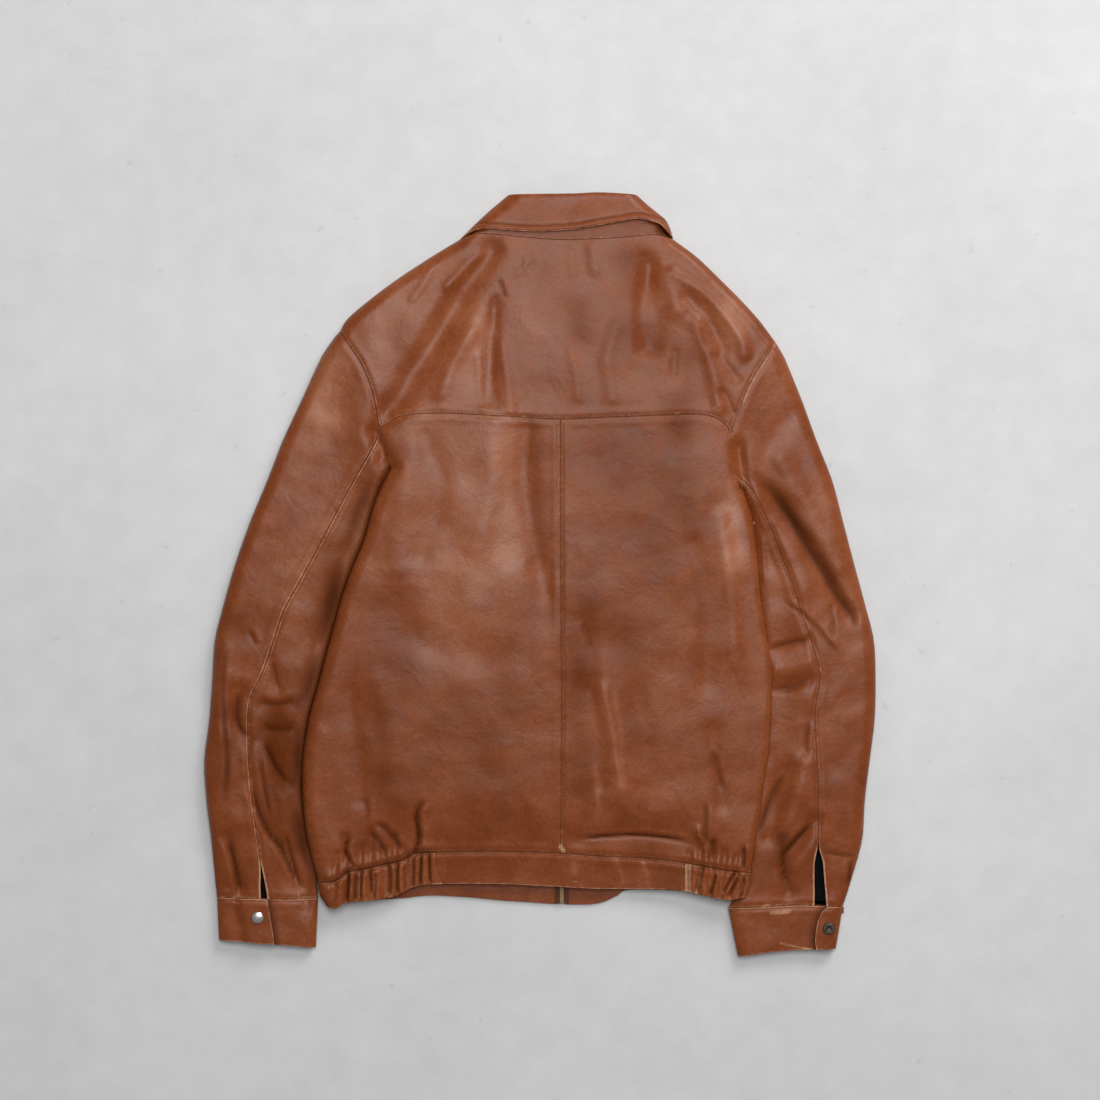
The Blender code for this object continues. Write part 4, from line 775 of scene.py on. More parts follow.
# The sleeves' inner edges tuck in below the body's sides
for side, shift in (("LEFT", 2.6), ("RIGHT", -2.6)):
    line = CURVES[f"INNER_{side}"]
    inward = ease((112 - line[:, 1]) / 8) * ease((line[:, 1] + 325) / 40)
    line[:, 0] += shift * inward * (1 if side == "LEFT" else (1.6 + 0.5 * np.exp(-((line[:, 1] - 58) / 14) ** 2))
                              * ease((line[:, 1] + 75) / 60))

SEAM_DIP = 0.32
SEAM_HALF = 0.8
PUFF = 0.4
STITCH_DIP = 0.2
STITCH_AWAY = 2.4            # from a seam to its row of stitches
SEAM_GAP = 0.03              # each piece stops this far short of its seam line


def armhole_seam(side):
    """The armhole above the yoke's seam; below there it is hidden in a fold."""
    line = CURVES[f"ARMHOLE_{side}"]
    return stretch(line, 0, fraction(line, YOKE_SEAM[0] if side == "LEFT" else YOKE_SEAM[-1]))


ARMHOLE_SEAMS = {side: armhole_seam(side) for side in ("LEFT", "RIGHT")}
BODY_SEAMS = [CURVES[name] for name in ("YOKE_SEAM", "CENTRE_BACK", "BACK_HEM")] + list(ARMHOLE_SEAMS.values())


def seamed(points, lines):
    """The groove along seams and the swell beside it."""
    d = distance(points, lines)
    return PUFF * np.exp(-((d - 6) / 3.2) ** 2) - SEAM_DIP * np.exp(-(d / SEAM_HALF) ** 2) \
        - STITCH_DIP * np.exp(-((d - STITCH_AWAY) / 0.8) ** 2)


def near_folds(points):
    """The folds that the back and the sleeves' heads share."""
    return relief(points, BODY_FOLDS) + 1.35 * relief(points, BODY_SOFT + UNDERARM_FOLDS)


def body_ripple(points):
    """Soft unevenness of the back."""
    return 0.5 * ripple(points, 3, 60) + 0.09 * ripple(points, 4, 24)


def swell(points):
    """The body bulges over the band at its gathered ends, and the band's top is tucked in below it."""
    x, y = points[..., 0], points[..., 1]
    line = CURVES["BACK_HEM"]
    order = np.argsort(line[:, 0])
    above = y - np.interp(x, line[order, 0], line[order, 1])
    gathered = np.maximum(ease((-104 - x) / 16), 0.45 * ease((x - 146) / 14))
    return gathered * (1.9 * np.exp(-((above - 6) / 5.5) ** 2) - 1.5 * np.exp(-((above + 1.5) / 3.0) ** 2))


def body_top(points):
    """Outer face of the back, the yoke and the back of the band."""
    d = distance(points, BODY_LINES)
    side = body_side(points)
    drop = HEM_DROP * ease((-225 - points[..., 1]) / 100) * ease((d - 25) / 85)
    fold = relief(points, GATHERS) + near_folds(points) + swell(points)
    fine = creased(points, BODY_CREASES + BAND_CREASES)[0] + body_ripple(points) + seamed(points, BODY_SEAMS)
    fold, fine = fold * ease(d / EDGE), fine * ease(d / 8)
    return side + (BODY_HEIGHT - drop + fold + fine - side) * rounded(d, EDGE - TUCK_SHARPER * right_tuck(points))


def sleeve_seams(side):
    """The seams that show on one sleeve."""
    return [ARMHOLE_SEAMS[side], CURVES[f"BACK_SEAM_{side}"], CURVES[f"WRIST_{side}"]]


def sleeve_top(points, side):
    """Outer face of the sleeve's upper side."""
    away = distance(points, [CURVES[f"ARMHOLE_{side}"]])
    d = distance(points, sleeve_lines(side))
    middle = sleeve_side(points, side)
    crown = SLEEVE_HEIGHT
    if side == "RIGHT":
        inner = distance(points, [CURVES["INNER_RIGHT"], CURVES["CUFF_INNER_RIGHT"]])
        crown = TUCKED_HEIGHT + (SLEEVE_HEIGHT - TUCKED_HEIGHT) * ease((inner - 16) / 34)
    crown = crown + (np.minimum(crown, CUFF_HEIGHT) - crown) * ease((-240 - points[..., 1]) / 90)
    crown = BODY_HEIGHT + (crown - BODY_HEIGHT) * ease(away / 56)
    own = SLEEVE_FOLDS_LEFT if side == "LEFT" else SLEEVE_FOLDS_RIGHT
    sharp = SLEEVE_CREASES_LEFT if side == "LEFT" else SLEEVE_CREASES_RIGHT
    own_share = ease(away / 40)
    fold = near_folds(points) * (1 - own_share) + relief(points, own) * ease(away / 25)
    if side == "LEFT":
        fold = fold - 6.5 * np.exp(-(distance(points, [CURVES["INNER_LEFT"]]) / 17) ** 2) * own_share
    soft = (0.45 * ripple(points, 5, 46) + 0.08 * ripple(points, 6, 20)) * own_share \
        + body_ripple(points) * (1 - own_share)
    fine = creased(points, sharp)[0] + soft + seamed(points, sleeve_seams(side))
    crown = crown + fold * ease(d / EDGE) + fine * ease(d / 8)
    return middle + (crown - middle) * rounded(d, EDGE)


def ladder(length, step, first=0.0, last=None, tight=(True, True)):
    """Fractions of a length in steps of about the size given, closer together near the ends that are tight."""
    last = length if last is None else last
    places = [first]
    while places[-1] < last - 1e-6:
        start = places[-1] - first if tight[0] else last
        end = last - places[-1] if tight[1] else last
        places.append(places[-1] + step * COARSE * (0.35 + 0.65 * min(1, min(start, end) / 9)))
    places = np.array(places)
    return (first + (places - first) * (last - first) / (places[-1] - first)) / length


def steps(count):
    return max(2, int(round(count / COARSE)))


def tangents(grid, axis):
    """Directions along a grid, each halfway between the steps before and after it."""
    step = np.diff(grid, axis=axis)
    step /= np.maximum(np.linalg.norm(step, axis=-1, keepdims=True), 1e-9)
    first, last = np.take(step, [0], axis), np.take(step, [-1], axis)
    return np.concatenate([first, step], axis) + np.concatenate([step, last], axis)


def sheet(name, outer, wall, materials, outward, marks=None):
    """A closed thin shell: the outer face as a grid of points, and the inner face a wall's thickness behind it."""
    normal = np.cross(tangents(outer, 1), tangents(outer, 0))
    normal /= np.linalg.norm(normal, axis=-1, keepdims=True)
    for border in (np.s_[0], np.s_[:, 0]):
        facing = normal[border]
        steep = np.abs(facing[:, 2]) < 0.75
        facing[steep, 2] = 0
        normal[border] = facing / np.maximum(np.linalg.norm(facing, axis=-1, keepdims=True), 1e-9)
    inner = outer - outward * wall * normal
    shown = ease((outward * normal[..., 2] + 0.35) / 0.3)
    rows, columns = outer.shape[:2]
    count = rows * columns
    grid = np.arange(count).reshape(rows, columns)
    a, b = grid[:-1, :-1].ravel(), grid[1:, :-1].ravel()
    c, d = grid[1:, 1:].ravel(), grid[:-1, 1:].ravel()
    faces = [np.stack([a, d, c, b], axis=1), np.stack([a, b, c, d], axis=1) + count]
    rim = np.concatenate([grid[0, :-1], grid[:-1, -1], grid[-1, :0:-1], grid[:0:-1, 0]])
    after = np.roll(rim, -1)
    faces.append(np.stack([after, rim, rim + count, after + count], axis=1))
    inside = np.concatenate([np.zeros(len(a), int), np.ones(len(a), int), np.zeros(len(rim), int)])
    faces = np.concatenate(faces)
    points = np.concatenate([outer.reshape(-1, 3), inner.reshape(-1, 3)])
    corner = points[faces]
    volume = np.einsum("ij,ij->i", corner[:, 0], np.cross(corner[:, 1], corner[:, 2])
                       + np.cross(corner[:, 2], corner[:, 3])).sum()
    if volume < 0:
        faces = faces[:, ::-1]
    mesh = bpy.data.meshes.new(name)
    mesh.from_pydata((points * MM).tolist(), [], faces.tolist())
    for material in materials:
        mesh.materials.append(material)
    mesh.polygons.foreach_set("material_index", inside if len(materials) > 1 else inside * 0)
    mesh.shade_smooth()
    mesh.set_sharp_from_angle(angle=math.radians(62))
    marks = marks or {}
    for key in ("rubbed", "dirt", "tone"):
        values = np.zeros(2 * count)
        if key in marks:
            values[:count] = (marks[key] * shown).ravel()
        mesh.attributes.new(key, "FLOAT", "POINT").data.foreach_set("value", values)
    thing = bpy.data.objects.new(name, mesh)
    bpy.context.scene.collection.objects.link(thing)
    return thing


def marked(points, creases, grooves, edges):
    """Tone with painted sheen and shade, dirt with painted shade, and rubbed leather at each point: edges are (lines,
    half width, amount).
    """
    flat = points[..., :2]
    tone, rubbed = np.zeros(flat.shape[:-1]), np.zeros(flat.shape[:-1])
    for route, width, amount in TONES:
        line = smooth(route, 24)
        here = near(flat, line, 3 * width)
        if here.any():
            tone[here] += amount * np.exp(-(distance(flat[here], [line]) / width) ** 2)
    for route, width, amount in RUBBED:
        line = smooth(route, 24)
        here = near(flat, line, 3 * width)
        if here.any():
            rubbed[here] += amount * np.exp(-(distance(flat[here], [line]) / width) ** 4)
    for lines, width, amount in edges:
        rubbed += amount * np.exp(-(distance(flat, lines) / width) ** 2)
    dirt = creased(flat, creases)[1]
    if grooves:
        d = distance(flat, grooves)
        dirt = np.maximum(dirt, 0.42 * np.exp(-(d / 0.6) ** 2))
        rubbed += 0.40 * np.exp(-((d - 1.5) / 0.6) ** 2)
    return {"tone": tone, "rubbed": rubbed, "dirt": dirt}


def ride(piece, slot, *nodes):
    """Fix a piece to the jacket in place of its solids."""
    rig.ride(piece, "root")
    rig.slot(piece, slot)
    if nodes:
        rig.replaces(piece, *nodes)
    return piece


# Materials

def socket(value):
    """True if the value is another node's output."""
    return isinstance(value, bpy.types.NodeSocket)


class Nodes:
    """A short way to write a material's nodes."""

    def __init__(self, name):
        self.material = bpy.data.materials.new(name)
        self.material.use_nodes = True
        self.tree = self.material.node_tree
        self.shader = self.tree.nodes["Principled BSDF"]
        self.place = self.add("ShaderNodeTexCoord").outputs["Object"]

    def add(self, kind, **settings):
        node = self.tree.nodes.new(kind)
        for key, value in settings.items():
            setattr(node, key, value)
        return node

    def put(self, into, value):
        if socket(value):
            self.tree.links.new(value, into)
        else:
            into.default_value = value

    def attribute(self, name):
        return self.add("ShaderNodeAttribute", attribute_name=name).outputs["Fac"]

    def noise(self, scale, detail=3.0, rough=0.5, distort=0.0):
        node = self.add("ShaderNodeTexNoise")
        self.put(node.inputs["Vector"], self.place)
        node.inputs["Scale"].default_value = scale
        node.inputs["Detail"].default_value = detail
        node.inputs["Roughness"].default_value = rough
        node.inputs["Distortion"].default_value = distort
        return node.outputs["Fac"]

    def cells(self, scale, feature="F1", smooth_by=0.4):
        node = self.add("ShaderNodeTexVoronoi", feature="SMOOTH_F1" if feature == "F1" else feature)
        self.put(node.inputs["Vector"], self.place)
        node.inputs["Scale"].default_value = scale
        if "Smoothness" in node.inputs and feature == "F1":
            node.inputs["Smoothness"].default_value = smooth_by
        return node.outputs["Distance"]

    def math(self, how, a, b=0.0, c=0.0):
        node = self.add("ShaderNodeMath", operation=how)
        for into, value in zip(node.inputs, (a, b, c)):
            self.put(into, value)
        return node.outputs[0]

    def span(self, value, low, high, to_low=0.0, to_high=1.0):
        node = self.add("ShaderNodeMapRange", interpolation_type="SMOOTHSTEP")
        for key, item in (("Value", value), ("From Min", low), ("From Max", high), ("To Min", to_low),
                          ("To Max", to_high)):
            self.put(node.inputs[key], item)
        return node.outputs["Result"]

    def ramp(self, value, stops):
        node = self.add("ShaderNodeValToRGB")
        points = node.color_ramp.elements
        while len(points) < len(stops):
            points.new(0.5)
        for point, (where, colour) in zip(points, stops):
            point.position = where
            point.color = (*colour, 1)
        self.put(node.inputs["Fac"], value)
        return node.outputs["Color"]

    def mix(self, amount, a, b, how="MIX"):
        node = self.add("ShaderNodeMix", data_type="RGBA", blend_type=how)
        self.put(node.inputs[0], amount)
        for into, value in ((node.inputs[6], a), (node.inputs[7], b)):
            self.put(into, value if socket(value) else (*value, 1))
        return node.outputs[2]

    def bump(self, height, strength, depth, under=None):
        node = self.add("ShaderNodeBump")
        node.inputs["Strength"].default_value = strength
        node.inputs["Distance"].default_value = depth
        self.put(node.inputs["Height"], height)
        if under is not None:
            self.put(node.inputs["Normal"], under)
        return node.outputs["Normal"]

    def finish(self, **inputs):
        for key, value in inputs.items():
            into = self.shader.inputs[key.replace("_", " ")]
            self.put(into, (*value, 1) if isinstance(value, tuple) else value)
        return self.material


DARK_TAN = (0.120, 0.026, 0.006)
TAN = (0.212, 0.049, 0.011)
PALE_TAN = (0.330, 0.102, 0.036)
RUBBED_TAN = (0.50, 0.260, 0.145)
CREASE_BROWN = (0.046, 0.012, 0.0035)


def leather_material(name, pale=0.0, wear=0.0):
    """Semi-gloss dyed leather with soft mottling, fine grain, rubbed edges and dark seams; its colour also holds
    painted sheen and painted shade from the tone attribute, and dirt with painted shade in its creases and folds.
    """
    n = Nodes(name)
    clouds = n.noise(11, 4, 0.55, 0.6)
    blots = n.noise(46, 4, 0.55, 0.4)
    specks = n.noise(300, 2, 0.6)
    # The tone attribute moves the colour towards PALE_TAN as painted sheen and towards DARK_TAN as painted shade, with
    # some of the leather's own tone; the noises add its mottling
    tone = n.math("MULTIPLY_ADD", n.attribute("tone"), 0.30, 0.5 + pale)
    tone = n.math("MULTIPLY_ADD", n.math("SUBTRACT", clouds, 0.5), 0.5, tone)
    tone = n.math("MULTIPLY_ADD", n.math("SUBTRACT", blots, 0.5), 0.5, tone)
    tone = n.math("MULTIPLY_ADD", n.math("SUBTRACT", specks, 0.5), 0.4, tone)
    colour = n.ramp(tone, [(0.12, DARK_TAN), (0.5, TAN), (0.95, PALE_TAN)])
    patch_noise = n.noise(150, 4, 0.6, 0.5)
    rubbed = n.math("MULTIPLY_ADD", n.math("SUBTRACT", patch_noise, 0.5), 1.1, n.attribute("rubbed"))
    rubbed = n.span(n.math("ADD", rubbed, wear), 0.25, 0.95)
    colour = n.mix(rubbed, colour, RUBBED_TAN)
    # Darker towards a deep brown: real dirt and dark seams, and painted shade in creases, folds, under edges and in
    # holes
    dirt = n.math("MULTIPLY", n.attribute("dirt"), 0.78)
    colour = n.mix(dirt, colour, CREASE_BROWN)
    rough = n.math("MULTIPLY_ADD", n.math("SUBTRACT", blots, 0.5), 0.2, 0.38)
    rough = n.math("MULTIPLY_ADD", rubbed, 0.22, rough)
    rough = n.math("MULTIPLY_ADD", dirt, 0.3, rough)
    polish = n.math("MULTIPLY_ADD", n.attribute("tone"), 0.20, 0.27)
    polish = n.math("MULTIPLY", polish, n.math("MULTIPLY_ADD", dirt, -0.95, 1.0))
    polish = n.math("MAXIMUM", polish, 0.02)
    grain = n.bump(n.cells(620), 0.28, 0.00018)
    wrinkle = n.bump(n.noise(130, 5, 0.6, 1.2), 0.16, 0.0009, grain)
    rumple = n.bump(n.noise(38, 3, 0.5, 0.8), 0.16, 0.004, wrinkle)
    return n.finish(Base_Color=colour, Roughness=rough, Normal=rumple, Specular_IOR_Level=polish)


def cloth_material(name, colour, other, scale, rough=0.85, shine=0.4):
    """Plain woven cloth: fine crossing threads."""
    n = Nodes(name)
    waves = []
    for turn in ("X", "Y"):
        node = n.add("ShaderNodeTexWave", wave_type="BANDS", bands_direction=turn)
        n.put(node.inputs["Vector"], n.place)
        node.inputs["Scale"].default_value = scale
        node.inputs["Distortion"].default_value = 0.4
        waves.append(node.outputs["Fac"])
    weave = n.math("MULTIPLY", *waves)
    shade = n.mix(n.span(weave, 0.0, 0.8), other, colour)
    shade = n.mix(n.span(n.noise(60, 3), 0.35, 0.8, 0.0, 0.4), shade, other)
    return n.finish(Base_Color=shade, Roughness=rough, Normal=n.bump(weave, 0.5, 0.0002), Specular_IOR_Level=shine)


def metal_material(name, colour, worn, rough):
    """Plated metal with fine scratches and tarnish."""
    n = Nodes(name)
    spots = n.noise(420, 4, 0.6)
    shade = n.mix(n.span(spots, 0.42, 0.7), colour, worn)
    scratch = n.noise(1400, 2, 0.5)
    return n.finish(Base_Color=shade, Metallic=1.0, Roughness=n.span(spots, 0.3, 0.75, rough, rough + 0.25),
                    Normal=n.bump(scratch, 0.08, 0.0001))


def thread_material(name, colour, other):
    """Twisted sewing thread."""
    n = Nodes(name)
    shade = n.mix(n.span(n.noise(180, 3), 0.3, 0.7), colour, other)
    return n.finish(Base_Color=shade, Roughness=0.6, Normal=n.bump(n.noise(2600, 2), 0.4, 0.0002))


def floor_material():
    """Plain pale floor with a faint unevenness of tone."""
    n = Nodes("floor_pale")
    clouds = n.math("MULTIPLY_ADD", n.noise(3.2, 5, 0.6), 0.6, n.math("MULTIPLY", n.noise(30, 4, 0.6), 0.4))
    shade = n.ramp(clouds, [(0.3, (0.60, 0.61, 0.625)), (0.7, (0.71, 0.72, 0.735))])
    pits = n.span(n.noise(55, 2, 0.5), 0.70, 0.76)
    shade = n.mix(n.math("MULTIPLY", pits, 0.25), shade, (0.42, 0.43, 0.44))
    return n.finish(Base_Color=shade, Roughness=0.75, Normal=n.bump(n.noise(160, 4), 0.15, 0.0006))


# Pieces

def grid_points(plan, height, rows, columns):
    """Places in plan with their heights; rows and columns are fractions that fill a grid."""
    u, v = np.broadcast_arrays(columns, rows)
    points = plan(u, v)
    return np.concatenate([points, height(points)[..., None]], axis=-1)


def make_yoke(skins):
    """The yoke, whose lower edge laps over the backs."""
    c = CURVES
    top = joined(c["SHOULDER_LEFT"][::-1], c["NECK"], c["SHOULDER_RIGHT"])
    left_end = fraction(c["ARMHOLE_LEFT"], YOKE_SEAM[0])
    right_end = fraction(c["ARMHOLE_RIGHT"], YOKE_SEAM[-1])
    plan = patch(top, c["YOKE_SEAM"], stretch(c["ARMHOLE_LEFT"], 0, left_end),
                 stretch(c["ARMHOLE_RIGHT"], 0, right_end))
    rows = ladder(YOKE_LENGTH, 2.0, 0.015, YOKE_LENGTH - SEAM_GAP)[:, None]
    columns = ladder(YOKE_WIDTH, 2.2, 0.1, YOKE_WIDTH - 0.1)[None, :]
    outer = grid_points(plan, body_top, rows, columns)
    outer[0, :, 2] = np.maximum(outer[0, :, 2], SIDE_MIDDLE + SEAM)
    d = distance(outer[..., :2], [c["YOKE_SEAM"]])
    outer[..., 2] += LAP_STEP * np.exp(-(d / 7) ** 2)
    armholes = list(ARMHOLE_SEAMS.values())
    marks = marked(outer, BODY_CREASES, [c["YOKE_SEAM"], c["NECK"]] + armholes,
                   [([c["YOKE_SEAM"]], 1.4, 0.25), (armholes, 1.6, 0.25),
                    ([c["SHOULDER_RIGHT"], c["SHOULDER_LEFT"]], 3.0, 0.25)])
    ride(sheet("Back_Yoke", outer, LEATHER, skins, -1, marks), "leather", "back_yoke")


def make_backs(skins):
    """The two back panels, sewn along the centre back."""
    c = CURVES
    middle = fraction(c["YOKE_SEAM"], CENTRE_BACK[0])
    hem_middle = fraction(c["BACK_HEM"], CENTRE_BACK[-1])
    for side in ("LEFT", "RIGHT"):
        armhole = c[f"ARMHOLE_{side}"]
        start = fraction(armhole, YOKE_SEAM[0] if side == "LEFT" else YOKE_SEAM[-1])
        edge = joined(stretch(armhole, start, 1), c[f"SIDE_{side}"])
        first = 0 if side == "LEFT" else 1
        top, hem = stretch(c["YOKE_SEAM"], first, middle), stretch(c["BACK_HEM"], first, hem_middle)
        plan = patch(top, hem, edge, c["CENTRE_BACK"])
        rows = ladder(BACK_LENGTH, 2.2, SEAM_GAP, BACK_LENGTH - SEAM_GAP)[:, None]
        share = 0.065 if side == "LEFT" else 0.045
        turn = share * (1 - np.cos(np.linspace(0, math.pi / 2, steps(10), endpoint=False)))
        flat = share + (1 - share) * ladder(BODY_WIDTH, 2.2, 0.0, BODY_WIDTH - SEAM_GAP, (False, True))
        outer = grid_points(plan, body_top, rows, np.concatenate([turn, flat])[None, :])
        outer[:, 0, 2] = np.maximum(outer[:, 0, 2], body_side(outer[:, 0, :2]) + SEAM)
        marks = marked(outer, BODY_CREASES, [c["YOKE_SEAM"], c["CENTRE_BACK"], c["BACK_HEM"]],
                       [([c["CENTRE_BACK"]], 1.2, 0.15), ([c["BACK_HEM"]], 1.6, 0.12),
                        ([c[f"SIDE_{side}"]], 3.0, 0.25)])
        name = side.capitalize()
        ride(sheet(f"Back_{name}", outer, LEATHER, skins, -1 if side == "LEFT" else 1, marks), "leather",
             f"back_{side.lower()}")


def make_fronts(skins):
    """The two fronts below, up to the zip."""
    c = CURVES
    for side, sign in (("LEFT", -1), ("RIGHT", 1)):
        top = joined(c[f"SHOULDER_{side}"][::-1], c[f"FRONT_NECK_{side}"])
        edge = joined(c[f"FRONT_ARMHOLE_{side}"], c[f"SIDE_{side}"])
        zip_edge = ZIP_X + sign * FRONT_GAP
        centre = even(np.array([(zip_edge, 266.0), (zip_edge, -306.0)]))
        hem = stretch(c["FRONT_HEM"], 0 if side == "LEFT" else 1, fraction(c["FRONT_HEM"], (zip_edge, -306)))
        hem[-1] = centre[-1]
        top[-1] = centre[0]
        plan = patch(top, hem, edge, centre)
        rows = ladder(FRONT_LENGTH, 4.5, 0.06, FRONT_LENGTH - 0.2)[:, None]
        turn = 0.06 * (1 - np.cos(np.linspace(0, math.pi / 2, steps(8), endpoint=False)))
        flat = 0.06 + 0.94 * ladder(BODY_WIDTH, 4.5, 0.0, BODY_WIDTH - 0.1, (False, True))
        outer = grid_points(plan, body_bottom, rows, np.concatenate([turn, flat])[None, :])
        outer[..., 2] = np.minimum(outer[..., 2], body_side(outer[..., :2]) - SEAM)
        outer[..., 2] += 0.25 * ease(distance(outer[..., :2], BODY_LINES) / 30) * (1 + ripple(outer[..., :2], 8, 70))
        name = side.capitalize()
        ride(sheet(f"Front_{name}", outer, LEATHER, skins, -1 if side == "RIGHT" else 1), "leather",
             f"front_{side.lower()}")


def spaced(start, edge, flat_steps, arc_steps, share):
    """Fractions from a seam to a folded edge at 0 or 1, closer together at the seam and round the fold."""
    sign = 1 if edge == 1 else -1
    share = np.minimum(share, 0.8 * np.abs(edge - start))
    knee = edge - sign * share
    flat = [start + (knee - start) * (k / flat_steps) ** 1.3 for k in range(flat_steps)]
    turn = [edge - sign * share * (1 - math.sin(math.pi / 2 * k / arc_steps)) * np.ones_like(start)
            for k in range(arc_steps + 1)]
    return flat + turn


def sleeve_plans(side):
    """The sleeve's upper and under faces in plan; u runs from the inner edge to the outer edge."""
    c = CURVES
    wrist, inner, outer = c[f"WRIST_{side}"], c[f"INNER_{side}"], c[f"OUTER_{side}"]
    over = tapered(c[f"ARMHOLE_{side}"][::-1], wrist, inner, outer)
    under = tapered(c[f"FRONT_ARMHOLE_{side}"][::-1], wrist, inner, outer)
    return over, under


def tapered(head, end, inner, outer):
    """A sleeve's face: straight across between its edges, with the armhole's bend fading out soon below it."""
    def bend(line, u):
        return at(line, u) - ((1 - u)[..., None] * line[0] + u[..., None] * line[-1])

    def point(u, v):
        u, v = np.broadcast_arrays(u, v)
        straight = (1 - u)[..., None] * at(inner, v) + u[..., None] * at(outer, v)
        return straight + ((1 - v) ** HEAD_FADE)[..., None] * bend(head, u) + v[..., None] * bend(end, u)
    return point


def seam_fractions(side, rows):
    """Where the back seam crosses each row of the sleeve's upper face, as a fraction of its width."""
    over, _ = sleeve_plans(side)
    u = np.linspace(0, 1, 301)
    places = over(u[None, :], np.broadcast_to(rows, (len(rows), len(u))))
    gap = distance(places, [CURVES[f"BACK_SEAM_{side}"]])
    found = u[gap.argmin(axis=1)]
    kernel = np.hanning(9)[1:-1]
    softened = np.convolve(np.pad(found, 3, mode="edge"), kernel / kernel.sum(), mode="valid")
    softened[0] = found[0]
    return softened[:, None]


def vent_open(side, rows):
    """Half of the open vent's width at each row of a sleeve, as a fraction of the sleeve's width."""
    widest = VENT_LEFT_GAP if side == "LEFT" else 11.5
    share = VENT / SLEEVE_RUN * (0.8 if side == "LEFT" else 1.25)
    slanting = 1 + 8 * (1 - rows) ** HEAD_FADE
    down = np.clip((rows - (1 - share)) / share, 0, 1)
    opened = 0.6 * ease(2.6 * down) + 0.4 * down if side == "RIGHT" else ease(down)
    return (SEAM_GAP * slanting + widest / 2 * opened) / SLEEVE_WIDTH


def make_sleeve(side, skins):
    """Upper and under sleeve, sewn along the back seam, open above the cuff as a vent."""
    c = CURVES
    over, under = sleeve_plans(side)
    rows = ladder(SLEEVE_LENGTH, 2.3, 2 * SEAM_GAP, SLEEVE_LENGTH - SEAM_GAP)[:, None]
    seam = seam_fractions(side, rows)
    gap = vent_open(side, rows)
    front_seam = np.full_like(rows, FRONT_SEAM_LEFT if side == "LEFT" else FRONT_SEAM_RIGHT)
    for name, edge, sign in (("upper", 1, 1), ("under", 0, -1)):
        start = np.clip(seam + sign * gap, 0.02, 0.98)
        finish = front_seam + sign * SEAM / SLEEVE_WIDTH
        top = spaced(start, edge, steps(30 if name == "upper" else 24), steps(10), EDGE / SLEEVE_WIDTH)
        bottom = spaced(finish, edge, steps(9), steps(7), EDGE / SLEEVE_WIDTH)[::-1][1:]
        upper, lower = np.concatenate(top, axis=1), np.concatenate(bottom, axis=1)
        p = over(upper, np.broadcast_to(rows, upper.shape))
        q = under(lower, np.broadcast_to(rows, lower.shape))
        outer = np.concatenate([
            np.concatenate([p, sleeve_top(p, side)[..., None]], axis=-1),
            np.concatenate([q, sleeve_bottom(q, side)[..., None]], axis=-1)], axis=1)
        sharp = SLEEVE_CREASES_LEFT if side == "LEFT" else SLEEVE_CREASES_RIGHT
        marks = marked(outer, sharp, sleeve_seams(side)[:1] + sleeve_seams(side)[2:],
                       [([c[f"WRIST_{side}"]], 1.4, 0.35), ([c[f"OUTER_{side}"]], 3.0, 0.22)])
        across = np.abs(np.concatenate([upper, lower + 9], axis=1) - start) * SLEEVE_WIDTH
        at_vent = ease((rows - (1 - VENT / SLEEVE_RUN * (0.8 if side == "LEFT" else 1.25))) / 0.02)
        marks["rubbed"] += (0.1 + 0.8 * at_vent) * np.exp(-(across / 1.2) ** 2)
        marks["rubbed"] += (0.72 if side == "LEFT" else 0.42) * np.exp(-((across - 1.3) / 0.6) ** 2)
        marks["dirt"] = np.maximum(marks["dirt"], 0.5 * (1 - at_vent) * np.exp(-(across / 0.6) ** 2))
        # Painted shadow on the left sleeve where it lies below the body's left edge
        if side == "LEFT":
            beside = distance(outer[..., :2], [c["SIDE_LEFT"]])
            tucked = 0.9 * ease((135 - outer[..., 1]) / 30)
            marks["dirt"] = np.maximum(marks["dirt"], tucked * np.exp(-(beside / 6) ** 2))
        # Painted shade along the deep folds and the valleys beside the body
        for route, width, amount in GRIME:
            flat = outer[..., :2].reshape(-1, 2)
            away, _, along = measure(flat, smooth(route, 24))
            depth = amount * np.exp(-(away / width) ** 2) * ease(along / 0.45) * ease((1 - along) / 0.45)
            marks["dirt"] = np.maximum(marks["dirt"], np.minimum(1, depth).reshape(outer.shape[:2]))
        outward = sign if side == "LEFT" else -sign
        piece = sheet(f"Sleeve_{side.capitalize()}_{name.capitalize()}", outer, LEATHER, skins, outward, marks)
        ride(piece, "leather", f"sleeve_{side.lower()}_{name}")


TAB_CURVE_LEFT = [(0.0, -280.5), (0.4, -277.5), (0.75, -274.5), (1.0, -273.5)]
TAB_CURVE_RIGHT = [(0.0, 296.0), (0.12, 290.0), (0.35, 285.5), (0.6, 283.5), (0.85, 283.0), (1.0, 284.5)]


def cuff_height(points, side, across=None):
    """Outer face of a cuff; across is the distance from the lapped end, where the cuff lies over itself."""
    low = sleeve_top(points, side)
    lapped = 0 if across is None else (BAND + CLEAR) * (1 - ease((across - LAP - 3) / 12))
    return low + (CUFF_PROUD + lapped) * rounded(distance(points, sleeve_lines(side)), CUFF_EDGE)


